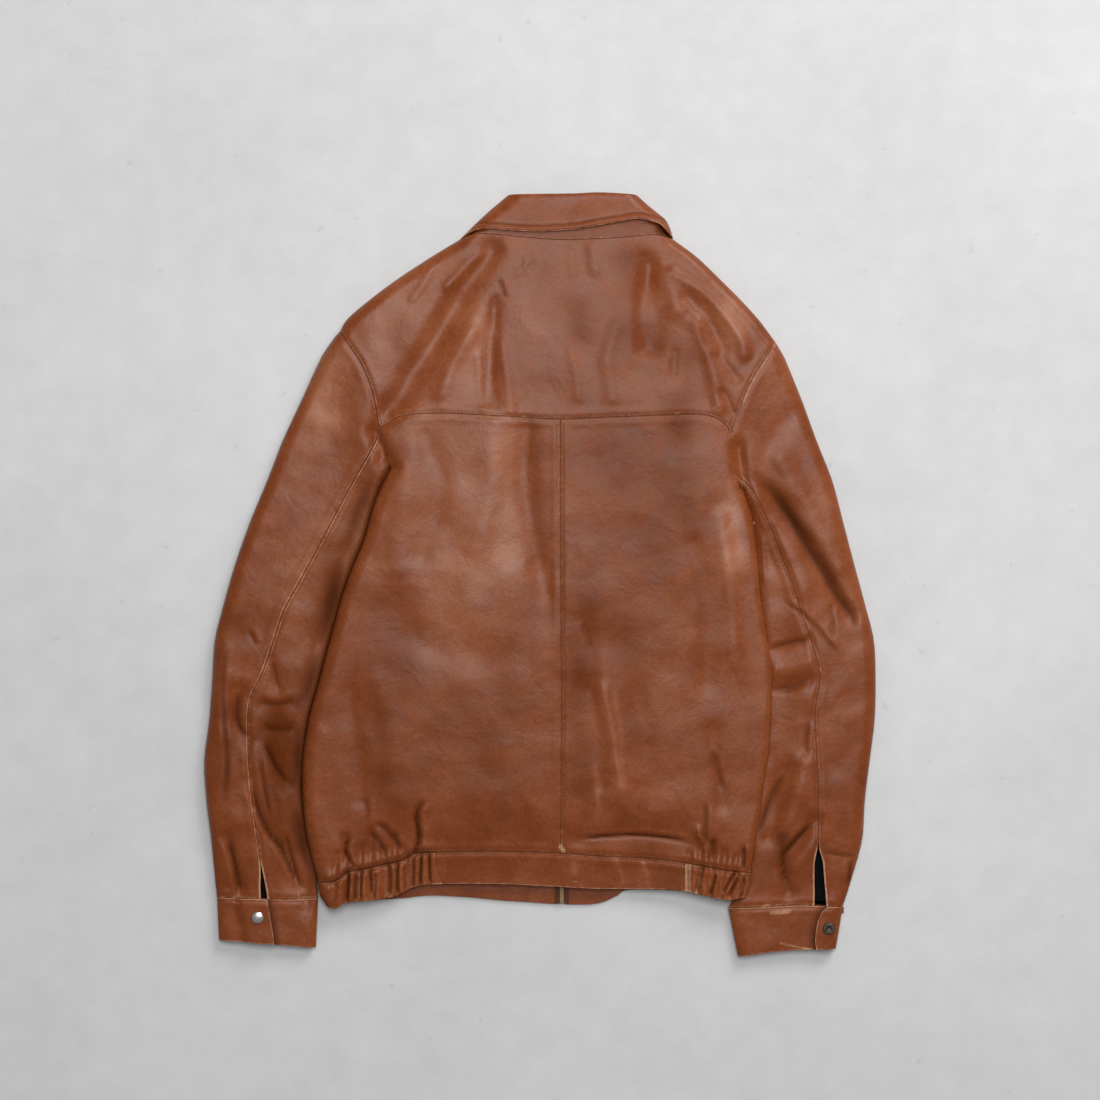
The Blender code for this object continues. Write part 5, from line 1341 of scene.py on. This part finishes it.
def make_cuff(side, skins):
    """A cuff: one strip round the wrist whose outer end laps over the inner end."""
    c = CURVES
    plan = patch(c[f"WRIST_{side}"], c[f"CUFF_END_{side}"], c[f"CUFF_INNER_{side}"], c[f"CUFF_OUTER_{side}"])
    width = CUFF_WIDTH
    rows = ladder(CUFF_LENGTH, 1.6, 0.2)[:, None]
    where, tab = zip(*(TAB_CURVE_LEFT if side == "LEFT" else TAB_CURVE_RIGHT))
    tab_x = np.interp(rows.ravel(), where, tab)
    inner_x = at(c[f"CUFF_INNER_{side}"], rows.ravel())[:, 0]
    outer_x = at(c[f"CUFF_OUTER_{side}"], rows.ravel())[:, 0]
    start = ((tab_x - inner_x) / (outer_x - inner_x))[:, None]
    end = start + LAP / width
    share = CUFF_EDGE / width
    half = np.full_like(start, 0.5)
    outer_run = np.concatenate(spaced(start, 1, steps(30), steps(9), share), axis=1)
    under_run = np.concatenate(toward_edge(half, 1, steps(8), steps(6), share)[::-1][1:]
                               + toward_edge(half, 0, steps(8), steps(6), share)[1:], axis=1)
    inner_run = np.concatenate(toward_edge(end, 0, steps(50), steps(9), share)[::-1][1:], axis=1)

    def place(u, how):
        points = plan(u, np.broadcast_to(rows, u.shape))
        if how == "under":
            z = SLEEVE_MIDDLE * (1 - rounded(distance(points, sleeve_lines(side)), CUFF_EDGE))
        else:
            z = cuff_height(points, side, np.abs(u - start) * width if how == "over" else None)
        return np.concatenate([points, z[..., None]], axis=-1)

    outer = np.concatenate([place(outer_run, "over"), place(under_run, "under"), place(inner_run, "inner")], axis=1)
    outer[..., 0] = np.clip(outer[..., 0], np.minimum(inner_x, outer_x)[:, None],
                            np.minimum(np.maximum(inner_x, outer_x), 310.6)[:, None])
    run = np.concatenate([outer_run, under_run + 9, inner_run + 18], axis=1)
    marks = marked(outer, [], [], [([c[f"WRIST_{side}"]], 1.2, 0.8), ([c[f"CUFF_END_{side}"]], 1.3, 0.55),
                                   ([c[f"CUFF_OUTER_{side}"], c[f"CUFF_INNER_{side}"]], 2.0, 0.2)])
    marks["rubbed"] += 0.75 * np.exp(-(np.abs(run - start) * width / 1.1) ** 2)
    # Painted shadow on the inner end beside the tab's edge, where it lies lower
    shadow = np.abs(run - 18 - start) * width
    marks["dirt"] = np.maximum(marks["dirt"], 0.85 * np.exp(-(shadow / 6) ** 2))
    piece = sheet(f"Cuff_{side.capitalize()}", outer, BAND, skins, 1 if side == "LEFT" else -1, marks)
    ride(piece, "leather", f"cuff_{side.lower()}")


def make_vent_lining(side, lining):
    """The dark facing inside the vent."""
    x, y = VENT_LINING_LEFT if side == "LEFT" else VENT_LINING_RIGHT
    u = np.linspace(-VENT_LINING_HALF, VENT_LINING_HALF, 22)
    v = np.linspace(VENT_LINING_TOP, -VENT_LINING_LOW, 40)
    grid = np.array([[(x + a, y + b) for a in u] for b in v], float)
    below = LEATHER + CLEAR + (VENT_BELOW_LEFT if side == "LEFT" else VENT_BELOW_RIGHT)
    z = sleeve_top(grid, side) - below - 0.25 * (1 + ripple(grid, 12, 9))
    piece = sheet(f"Vent_Lining_{side.capitalize()}", np.concatenate([grid, z[..., None]], axis=-1), TAPE, [lining], -1)
    ride(piece, "lining", f"vent_lining_{side.lower()}")


def front_band(side, elastic):
    """Plan of one front's band, from the side to the zip, and where its elastic ends."""
    c = CURVES
    sign = -1 if side == "LEFT" else 1
    first = 0 if side == "LEFT" else 1
    zip_edge = ZIP_X + sign * FRONT_GAP
    top = stretch(c["FRONT_HEM"], first, fraction(c["FRONT_HEM"], (zip_edge, -306)))
    low = stretch(c["FRONT_EDGE"], first, fraction(c["FRONT_EDGE"], (zip_edge, -340)))
    top[-1, 0] = low[-1, 0] = zip_edge
    plan = patch(top, low, c[f"BAND_SIDE_{side}"], even(np.array([top[-1], low[-1]])))
    return plan, fraction(top, (elastic, -303))


def make_hem(skins, worn_skins):
    """The hem band: elastic at both sides, plain at the middle of the back and at both fronts."""
    c = CURVES
    over = patch(c["BACK_HEM"], c["BACK_EDGE"], c["BAND_SIDE_LEFT"], c["BAND_SIDE_RIGHT"])
    rows = ladder(BAND_WIDTH, 1.5, 0.3)[:, None]
    total = BAND_LENGTH
    left, right = fraction(c["BACK_HEM"], (ELASTIC_LEFT_END, -285)), fraction(c["BACK_HEM"], (ELASTIC_RIGHT_END, -295))
    gap = 0.15 / total

    def run(plan, height, u):
        u = np.broadcast_to(np.asarray(u)[None, :], (len(rows), len(u)))
        points = plan(u, np.broadcast_to(rows, u.shape))
        return np.concatenate([points, height(points)[..., None]], axis=-1)

    def marks(outer, rubbed):
        joints = [even(np.array([(ELASTIC_RIGHT_END, -295), (ELASTIC_RIGHT_END, -325)], float))]
        light = stretch(c["BACK_EDGE"], fraction(c["BACK_EDGE"], (-110, -322)), fraction(c["BACK_EDGE"], (128, -325)))
        found = marked(outer, BAND_CREASES, [c["BACK_HEM"]] + joints, [([light], 1.1, 0.55),
                                                                       ([c["BACK_EDGE"]], 1.6, 0.12)])
        # Painted shadow on the band below the back's hem, where the gathered body bulges over it
        below = distance(outer[..., :2], [c["BACK_HEM"]])
        found["dirt"] = np.maximum(found["dirt"], 0.55 * np.exp(-(below / 3) ** 2)
                                   * np.maximum(ease((-104 - outer[..., 0]) / 16), 0.6 * ease((outer[..., 0] - 146) / 14)))
        found["rubbed"] += rubbed
        return found

    centre = run(over, body_top, left + gap + (right - left - 2 * gap) * ladder(255, 1.9))
    ride(sheet("Hem_Back", centre, BAND, skins, -1, marks(centre, 0)), "leather", "hem_back")
    one = np.array([1.0])
    for side, edge, top_end, elastic, count in (("LEFT", 0, left - gap, FRONT_ELASTIC_LEFT, 90),
                                                ("RIGHT", 1, right + gap, FRONT_ELASTIC_RIGHT, 62)):
        under, elastic_end = front_band(side, elastic)
        outward = 1 if edge == 0 else -1
        name = side.capitalize()
        plain = elastic_end + 2 * gap + (1 - elastic_end - 2 * gap) * ladder(190, 4.0)
        below = run(under, body_bottom, plain)
        ride(sheet(f"Hem_Front_{name}", below, BAND, skins, outward), "leather", f"hem_front_{side.lower()}")
        top = np.ravel(toward_edge(top_end * one, edge, steps(count), steps(9), EDGE / total))
        low = np.ravel(toward_edge((elastic_end - 2 * gap) * one, 0, steps(14), steps(9), 2 * EDGE / total)[::-1][1:])
        outer = np.concatenate([run(over, body_top, top), run(under, body_bottom, low)], axis=1)
        piece = sheet(f"Hem_Side_{name}", outer, BAND, worn_skins, outward, marks(outer, 0.12))
        ride(piece, "worn_leather", f"hem_side_{side.lower()}")


COLLAR_STITCH = 6.5          # from the leaf's edge to its row of stitches


def collar_height(points, fold, slopes, below):
    """Height of the collar's outer face on the back, lower than the leaf's by the amount given."""
    d = distance(points, slopes)
    from_fold = distance(points, [fold])
    crown = COLLAR_CROWN + COLLAR_RISE * ease(from_fold / 40) - below
    crown = crown - FOLD_ROLL * (1 - rounded(from_fold, 5)) * (below == 0)
    if below == 0:
        free = distance(points, [CURVES["LEAF_EDGE"]])
        crown = crown + 0.9 * np.exp(-((free - 2.8) / 2.2) ** 2) - 0.6 * np.exp(-((free - COLLAR_STITCH) / 1.3) ** 2)
        lifted = np.exp(-(np.linalg.norm(points - np.array([118.0, 352.0]), axis=-1) / 20) ** 2)
        crown = crown + 1.2 * lifted + 0.35 * ripple(points, 9, 40) * ease(from_fold / 8)
    return SIDE_MIDDLE + (crown - SIDE_MIDDLE) * rounded(d, EDGE - below)


def collar_under(points, slopes, lift):
    """Height of the collar's outer face on the front side, which faces the floor."""
    d = distance(points, slopes)
    return lift + (SIDE_MIDDLE - lift) * (1 - rounded(d, 10))


def collar_piece(name, parts, slopes, below, lift, rows, skins, marks):
    """One layer of the collar, round from the left front over the back to the right front."""
    back, front_left, front_right, fold = parts
    one = np.array([1.0])
    share, near_share = EDGE / COLLAR_LENGTH, EDGE / COLLAR_FRONT

    def run(plan, height, u):
        u = np.broadcast_to(np.ravel(u)[None, :], (len(rows), np.size(u)))
        points = plan(u, np.broadcast_to(rows, u.shape))
        return np.concatenate([points, height(points)[..., None]], axis=-1)

    def top(points):
        return collar_height(points, fold, slopes, below)

    def low(points):
        return collar_under(points, slopes, lift)

    left = toward_edge(one, 0, steps(16), steps(8), near_share)[:-1]
    right = toward_edge(one, 0, steps(16), steps(8), near_share)[::-1][1:]
    half = toward_edge(0.5 * one, 0, steps(42), steps(9), share)[::-1]
    other = toward_edge(0.5 * one, 1, steps(42), steps(9), share)[1:]
    outer = np.concatenate([run(front_left, low, left), run(back, top, half + other),
                            run(front_right, low, right)], axis=1)
    return ride(sheet(name, outer, LEATHER, skins, -1, marks(outer)), "leather", name.lower())


def make_collar(skins):
    """The collar: a stand sewn to the neck, and the leaf folded down over it."""
    c = CURVES

    def ending(a, b):
        return even(np.array([a, b], float))

    def parts(fold, low, slopes, folds, lows):
        back = patch(fold, low, *slopes)
        ends = [patch(folds[k], lows[k], slopes[k], ending(folds[k][-1], lows[k][-1])) for k in (0, 1)]
        return back, *ends, fold

    slopes = [c["COLLAR_SLOPE_LEFT"], c["COLLAR_SLOPE_RIGHT"]]
    leaf = parts(c["COLLAR_FOLD"], c["LEAF_EDGE"], slopes, [c["FRONT_FOLD_LEFT"], c["FRONT_FOLD_RIGHT"]],
                 [c["FRONT_LEAF_LEFT"], c["FRONT_LEAF_RIGHT"]])
    rows = ladder(COLLAR_FRONT, 2.0)[:, None]
    edge_line = even(c["LEAF_EDGE"])

    def leaf_marks(outer):
        found = marked(outer, [], [], [([edge_line], 2.0, 0.5), ([c["COLLAR_FOLD"]], 2.0, 0.3), (slopes, 2.0, 0.25)])
        free = distance(outer[..., :2], [edge_line])
        found["dirt"] = 0.6 * np.exp(-((free - COLLAR_STITCH) / 0.8) ** 2)
        found["rubbed"] += 0.25 * np.exp(-((free - COLLAR_STITCH + 2) / 0.8) ** 2)
        return found

    collar_piece("Collar_Leaf", leaf, slopes, 0.0, 0.0, rows, skins, leaf_marks)
    slopes = [c["STAND_SLOPE_LEFT"], c["STAND_SLOPE_RIGHT"]]
    stand = parts(c["STAND_FOLD"], c["STAND_NECK"], slopes,
                  [c["STAND_FRONT_FOLD_LEFT"], c["STAND_FRONT_FOLD_RIGHT"]],
                  [c["STAND_FRONT_NECK_LEFT"], c["STAND_FRONT_NECK_RIGHT"]])

    def stand_marks(outer):
        found = marked(outer, [], [], [([c["STAND_NECK"]], 1.5, 0.45)])
        found["tone"] -= 0.3
        streak = ripple(outer[..., :2] * np.array([1.0, 0.12]), 31, 5)
        found["rubbed"] += 0.28 * ease((streak - 0.4) / 0.8)
        # Painted shade in the hole under the leaf's curled-up right end
        found["dirt"] = np.exp(-(np.linalg.norm(outer[..., :2] - np.array([126.0, 355.0]), axis=-1) / 8) ** 4)
        return found

    rows = ladder(STAND_WIDTH, 2.0, 0.0, STAND_WIDTH - 0.08)[:, None]
    collar_piece("Collar_Stand", stand, slopes, LEATHER + STAND_BELOW, COLLAR_LIFT, rows, skins,
                 stand_marks)


def turned(name, profile, centre, material, count=48):
    """A round piece from its profile of radius and height."""
    a = np.linspace(0, 2 * math.pi, count, endpoint=False)
    rings = [(r, z) for r, z in profile[1:-1]]
    points = [(centre[0], centre[1], centre[2] + profile[0][1])]
    for r, z in rings:
        points += [(centre[0] + r * math.cos(t), centre[1] + r * math.sin(t), centre[2] + z) for t in a]
    points.append((centre[0], centre[1], centre[2] + profile[-1][1]))
    faces = [(0, 1 + k, 1 + (k + 1) % count) for k in range(count)]
    for i in range(len(rings) - 1):
        here, there = 1 + i * count, 1 + (i + 1) * count
        faces += [(here + k, there + k, there + (k + 1) % count, here + (k + 1) % count) for k in range(count)]
    base, last = 1 + (len(rings) - 1) * count, len(points) - 1
    faces += [(base + (k + 1) % count, base + k, last) for k in range(count)]
    mesh = bpy.data.meshes.new(name)
    mesh.from_pydata((np.array(points) * MM).tolist(), [], faces)
    mesh.materials.append(material)
    mesh.shade_smooth()
    thing = bpy.data.objects.new(name, mesh)
    bpy.context.scene.collection.objects.link(thing)
    return thing


def make_snap(side, metal):
    """A snap on a cuff: domed on the left, worn down to its dark socket on the right."""
    x, y = SNAP_LEFT if side == "LEFT" else SNAP_RIGHT
    r = SNAP / 2
    seat = np.array([[(x + r * math.cos(a), y + r * math.sin(a)) for a in np.linspace(0, 2 * math.pi, 12)]])
    z = float(sleeve_top(seat, side).max()) + BAND + CLEAR + CUFF_PROUD + CLEAR
    if side == "LEFT":
        profile = [(0, 2.35)] + [(r * 0.96 * math.sin(t), 0.75 + 1.6 * math.cos(t)) for t in np.linspace(0.12, 1.5, 14)]
        profile += [(r * 0.99, 0.62), (r, 0.4), (r * 0.97, 0.12), (r * 0.9, 0), (0, 0)]
    else:
        profile = [(0, 0.3), (r * 0.30, 0.3), (r * 0.36, 0.45), (r * 0.42, 1.1), (r * 0.5, 1.35), (r * 0.58, 1.25),
                   (r * 0.64, 1.05), (r * 0.72, 1.1), (r * 0.8, 1.3), (r * 0.9, 1.2), (r * 0.99, 0.7), (r, 0.3),
                   (r * 0.95, 0), (0, 0)]
    piece = turned(f"Snap_{side.capitalize()}", profile, (x, y, z), metal)
    ride(piece, "snap_steel" if side == "LEFT" else "snap_dark", f"snap_{side.lower()}")


def boxes(name, centres, sizes, material):
    """Many small bevelled blocks as one mesh."""
    points, faces = [], []
    for (x, y, z), (a, b, h) in zip(centres, sizes):
        base = len(points)
        for low, high, s in ((-0.5, None, 0.8), (-0.25, None, 1.0), (0.25, None, 1.0), (0.5, None, 0.8)):
            points += [(x + s * a * i / 2, y + s * b * j / 2, z + low * h) for i, j in ((-1, -1), (1, -1), (1, 1), (-1, 1))]
        faces.append((base + 3, base + 2, base + 1, base))
        for k in range(3):
            for i in range(4):
                p, q = base + 4 * k + i, base + 4 * k + (i + 1) % 4
                faces.append((p, q, q + 4, p + 4))
        faces.append((base + 12, base + 13, base + 14, base + 15))
    mesh = bpy.data.meshes.new(name)
    mesh.from_pydata((np.array(points) * MM).tolist(), [], faces)
    mesh.materials.append(material)
    thing = bpy.data.objects.new(name, mesh)
    bpy.context.scene.collection.objects.link(thing)
    return thing


def make_zip(tape, brass, binding):
    """The closed zip: woven tape behind the fronts, toothed chain, slider with its pull."""
    y = np.concatenate([np.linspace(ZIP_TOP, 4 - CHAIN_BAND, 150), np.linspace(-4 - CHAIN_BAND, ZIP_END, 18)])
    x = ZIP_X + np.linspace(-TAPE_HALF, TAPE_HALF, 13)
    grid = np.array([[(a, b) for a in x] for b in y])
    middle = np.stack([np.full_like(grid[..., 0], ZIP_X), grid[..., 1]], axis=-1)
    z = body_bottom(middle) + np.where(grid[..., 1] < -CHAIN_BAND, BAND, LEATHER) + CLEAR
    ride(sheet("Zip_Tape", np.concatenate([grid, z[..., None]], axis=-1), TAPE, [tape], 1), "zip_tape", "zip_tape")
    rows = np.arange(ZIP_TOP - 1, ZIP_END + 1, -1.15)
    under = body_bottom(np.stack([np.full_like(rows, ZIP_X), rows], axis=-1)[None])[0]
    centres = [(ZIP_X + (0.75 if k % 2 else -0.75), b, h + CHAIN_RISE + 0.75) for k, (b, h) in enumerate(zip(rows, under))]
    teeth = boxes("Zip_Teeth", centres, [(3.6, 1.3, 1.3)] * len(centres), brass)
    ride(teeth, "zip_metal", "zip_chain")
    low = COLLAR_LIFT + CHAIN_RISE - SLIDER_LOW - SLIDER[2] / 2
    parts = [((ZIP_X, SLIDER_Y, low), SLIDER), ((ZIP_X, SLIDER_Y + 2.5, low), (9.5, 4.5, 1.5)),
             ((ZIP_X, SLIDER_Y - 2, low - 0.75), (2.2, 6.0, 0.7)), ((ZIP_X, SLIDER_Y - 17, 0.85), (4.6, 24.0, 0.8))]
    slider = boxes("Zip_Slider", [p for p, _ in parts], [s for _, s in parts], brass)
    ride(slider, "zip_metal", "zip_slider")
    end = np.array([[(ZIP_X + a, b) for a in np.linspace(-1.9, 1.9, 7)] for b in np.linspace(-317, -338.6, 18)])
    z = body_bottom(np.stack([np.full_like(end[..., 0], ZIP_X), end[..., 1]], axis=-1)) + BAND + CLEAR + TAPE + 0.75
    piece = sheet("Zip_End", np.concatenate([end, z[..., None]], axis=-1), 0.6, [binding], -1)
    ride(piece, "zip_tape")


THREAD_RINGS = [(-1.35, -0.35, 0.12), (-1.0, 0.0, 0.3), (-0.4, 0.18, 0.38), (0.4, 0.18, 0.38), (1.0, 0.0, 0.3),
                (1.35, -0.35, 0.12)]     # along the stitch, up, radius


def stitch_row(line, height, offset=0.0, start=0.0, end=1.0, pitch=3.6):
    """Centres and directions of the stitches along a seam, at a distance to the left of its run."""
    length = np.linalg.norm(np.diff(line, axis=0), axis=1).sum() * (end - start)
    count = max(2, int(length / pitch))
    t = start + (end - start) * (np.arange(count) + 0.5) / count
    step = at(line, np.clip(t + 0.004, 0, 1)) - at(line, np.clip(t - 0.004, 0, 1))
    step /= np.linalg.norm(step, axis=1, keepdims=True)
    sideways = np.stack([-step[:, 1], step[:, 0]], axis=1)
    centre = at(line, t) + offset * sideways
    z = height(centre[None])[0]
    rise = (height((centre + step)[None])[0] - height((centre - step)[None])[0]) / 2
    return np.concatenate([centre, z[:, None]], axis=1), np.concatenate([step, rise[:, None]], axis=1)


def stitches(name, rows, material, lift=0.12):
    """Short sunk-ended stitches as one mesh."""
    centre = np.concatenate([row[0] for row in rows])
    along = np.concatenate([row[1] for row in rows])
    along /= np.linalg.norm(along, axis=1, keepdims=True)
    side = np.stack([-along[:, 1], along[:, 0], np.zeros(len(along))], axis=1)
    side /= np.linalg.norm(side, axis=1, keepdims=True)
    up = np.cross(along, side)
    points = []
    for s, h, r in THREAD_RINGS:
        for k in range(5):
            a = 2 * math.pi * k / 5 + math.pi / 2
            points.append(centre + s * along + (h + lift + r * math.sin(a)) * up + r * math.cos(a) * side)
    points = np.stack(points, axis=1)
    per = points.shape[1]
    faces = []
    for ring in range(len(THREAD_RINGS) - 1):
        for k in range(5):
            a, b = ring * 5 + k, ring * 5 + (k + 1) % 5
            faces.append((a, b, b + 5, a + 5))
    quads = (np.array(faces)[None] + per * np.arange(len(centre))[:, None, None]).reshape(-1, 4)
    caps = (np.array([(4, 3, 2, 1, 0), tuple(per - 5 + k for k in range(5))])[None]
            + per * np.arange(len(centre))[:, None, None]).reshape(-1, 5)
    mesh = bpy.data.meshes.new(name)
    mesh.from_pydata((points.reshape(-1, 3) * MM).tolist(), [], quads.tolist() + caps.tolist())
    mesh.materials.append(material)
    mesh.shade_smooth()
    thing = bpy.data.objects.new(name, mesh)
    bpy.context.scene.collection.objects.link(thing)
    return ride(thing, "leather")


def make_stitches(thread):
    """Topstitching along the yoke seam, the armholes above it, the centre back, the back's hem, the collar's leaf and
    the sleeves' back seams.
    """
    c = CURVES

    def lapped(points):
        d = distance(points, [c["YOKE_SEAM"]])
        return body_top(points) + LAP_STEP * np.exp(-(d / 7) ** 2)

    yoke = [stitch_row(c["YOKE_SEAM"], lapped, STITCH_AWAY)]
    armholes = []
    for side, away in (("LEFT", 1), ("RIGHT", -1)):
        armholes.append(stitch_row(ARMHOLE_SEAMS[side], body_top, STITCH_AWAY * away, 0.04, 0.98))
    stitches("Stitches_Yoke", yoke + armholes, thread)
    hem = [stitch_row(c["BACK_HEM"], body_top, STITCH_AWAY, 0.03, 0.97)]
    stitches("Stitches_Back", hem + [stitch_row(c["CENTRE_BACK"], body_top, STITCH_AWAY, 0.01, 0.99)], thread)
    slopes = [c["COLLAR_SLOPE_LEFT"], c["COLLAR_SLOPE_RIGHT"]]

    def leaf(points):
        return collar_height(points, c["COLLAR_FOLD"], slopes, 0.0)

    stitches("Stitches_Collar", [stitch_row(c["LEAF_EDGE"], leaf, COLLAR_STITCH, 0.12, 0.72)], thread)
    for side in ("LEFT", "RIGHT"):
        name = side.capitalize()

        def top(points, side=side):
            return sleeve_top(points, side)

        away = 1 if side == "LEFT" else -1
        stitches(f"Stitches_Sleeve_{name}",
                 [stitch_row(c[f"BACK_SEAM_{side}"], top, STITCH_AWAY * away, 0.03, 0.86)], thread)


LAP_STEP = 0.35


# Each piece of leather or cloth: width and length as cut, area, how it is held, what it lies on, what it carries
SHEETS = [
    ("Back_Yoke", 0.47, 0.20, 0.0715, "laid", ["Front_Left", "Front_Right"], ["Stitches_Yoke"]),
    ("Back_Left", 0.25, 0.46, 0.108, "laid", ["Front_Left"], ["Stitches_Back"]),
    ("Back_Right", 0.23, 0.46, 0.094, "laid", ["Front_Right", "Sleeve_Right_Under"], []),
    ("Front_Left", 0.25, 0.62, 0.139, "laid", [], []),
    ("Front_Right", 0.23, 0.62, 0.124, "laid", ["Sleeve_Right_Under"], []),
    ("Sleeve_Left_Upper", 0.15, 0.56, 0.070, "laid", ["Sleeve_Left_Under"], ["Stitches_Sleeve_Left"]),
    ("Sleeve_Left_Under", 0.13, 0.53, 0.057, "laid", [], []),
    ("Sleeve_Right_Upper", 0.17, 0.56, 0.081, "laid", ["Sleeve_Right_Under"], ["Stitches_Sleeve_Right"]),
    ("Sleeve_Right_Under", 0.10, 0.53, 0.038, "laid", [], []),
    ("Cuff_Left", 0.235, 0.048, 0.0112, "laid", [], []),
    ("Cuff_Right", 0.25, 0.05, 0.012, "laid", [], []),
    ("Vent_Lining_Left", 0.024, 0.048, None, "laid", ["Sleeve_Left_Under"], []),
    ("Vent_Lining_Right", 0.024, 0.048, None, "laid", ["Sleeve_Right_Under"], []),
    ("Hem_Back", 0.257, 0.035, 0.0089, "laid", ["Hem_Front_Left", "Hem_Front_Right"], []),
    ("Hem_Side_Left", 0.25, 0.034, None, "gathered", ["Hem_Front_Left"], []),
    ("Hem_Side_Right", 0.15, 0.034, None, "gathered", ["Hem_Front_Right"], []),
    ("Hem_Front_Left", 0.19, 0.034, None, "laid", [], []),
    ("Hem_Front_Right", 0.125, 0.034, None, "laid", [], []),
    ("Collar_Leaf", 0.44, 0.06, 0.0229, "folded", ["Collar_Stand"], ["Stitches_Collar"]),
    ("Collar_Stand", 0.50, 0.045, 0.022, "folded", [], []),
    ("Zip_Tape", 0.0144, 0.635, None, "laid", [], ["Zip_End"]),
]


def declare_sheets():
    """The size that each sheet was cut to."""
    for name, width, length, area, held, rests_on, carried in SHEETS:
        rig.sheet(bpy.data.objects[name], flat=(width, length), held=held, rests_on=rests_on, area=area,
                 with_pieces=[bpy.data.objects[other] for other in carried])


# Camera, floor and lights

CAMERA_X = 10.3
CAMERA_Y = 25.75
FRAME_SIDE = 1133.0          # the side of the floor's square in the photograph
LENS = 85.0
SENSOR = 36.0
FOCUS_HEIGHT = 10.0          # the height at which the frame's side is measured


def make_camera():
    """Looks straight down."""
    data = bpy.data.cameras.new("camera")
    data.lens = LENS
    data.sensor_width = SENSOR
    data.clip_end = 20
    camera = bpy.data.objects.new("camera", data)
    camera.location = (CAMERA_X * MM, CAMERA_Y * MM, (FRAME_SIDE * LENS / SENSOR + FOCUS_HEIGHT) * MM)
    bpy.context.scene.collection.objects.link(camera)
    bpy.context.scene.camera = camera


def make_floor():
    """A wide pale floor."""
    mesh = bpy.data.meshes.new("floor")
    side = 5.0
    mesh.from_pydata([(-side, -side, 0), (side, -side, 0), (side, side, 0), (-side, side, 0)], [], [(0, 1, 2, 3)])
    mesh.materials.append(floor_material())
    floor = bpy.data.objects.new("floor", mesh)
    floor.location.z = -0.0004
    bpy.context.scene.collection.objects.link(floor)
    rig.stage(floor)


def area_light(name, place, size, power, colour, target=(0.0, 0.0, 0.0)):
    """A soft panel that faces the jacket."""
    data = bpy.data.lights.new(name, "AREA")
    data.shape = "RECTANGLE"
    data.size, data.size_y = size
    data.energy = power
    data.color = colour
    lamp = bpy.data.objects.new(name, data)
    lamp.location = place
    lamp.rotation_euler = (Vector(target) - Vector(place)).to_track_quat("-Z", "Y").to_euler()
    bpy.context.scene.collection.objects.link(lamp)


def make_lights():
    """A big soft window at the right, a weaker one overhead at the left, and a pale room."""
    area_light("window", (1.4, 2.2, 1.8), (1.4, 1.4), 54, (1.0, 0.985, 0.96))
    area_light("ceiling", (0.2, 0.9, 3.6), (1.7, 1.7), 74, (1.0, 0.985, 0.96))
    world = bpy.data.worlds.new("room")
    world.use_nodes = True
    world.node_tree.nodes["Background"].inputs["Color"].default_value = (0.95, 0.95, 0.96, 1)
    world.node_tree.nodes["Background"].inputs["Strength"].default_value = 0.2
    bpy.context.scene.world = world
    bpy.context.scene.view_settings.view_transform = "Standard"


def build():
    """Every piece, the floor, the light and the camera."""
    leather = leather_material("leather_tan")
    worn = leather_material("leather_worn", 0.04, 0.1)
    lining = cloth_material("lining_black", (0.009, 0.008, 0.008), (0.003, 0.003, 0.003), 900, 0.95, 0.08)
    tape = cloth_material("tape_brown", (0.17, 0.052, 0.018), (0.07, 0.022, 0.009), 700)
    binding = cloth_material("binding_beige", (0.48, 0.33, 0.20), (0.24, 0.14, 0.08), 700)
    brass = metal_material("metal_brass", (0.62, 0.47, 0.27), (0.25, 0.17, 0.09), 0.32)
    steel = metal_material("metal_steel", (0.86, 0.85, 0.82), (0.5, 0.47, 0.42), 0.18)
    dark = metal_material("metal_dark", (0.06, 0.05, 0.045), (0.16, 0.12, 0.09), 0.4)
    thread = thread_material("thread_brown", (0.15, 0.035, 0.012), (0.26, 0.08, 0.03))
    skins = [leather, lining]
    make_yoke(skins)
    make_backs(skins)
    make_fronts(skins)
    for side in ("LEFT", "RIGHT"):
        make_sleeve(side, skins)
        make_cuff(side, [leather])
        make_vent_lining(side, lining)
    make_snap("LEFT", steel)
    make_snap("RIGHT", dark)
    make_hem([leather], [worn])
    make_collar([leather])
    make_zip(tape, brass, binding)
    make_stitches(thread)
    declare_sheets()
    make_floor()
    make_lights()
    make_camera()


build()
with open("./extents.json", "w") as sizes:
    json.dump({"cad": [list(corner) for corner in cad_box], "visual": [list(corner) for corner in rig.bounds()]}, sizes)
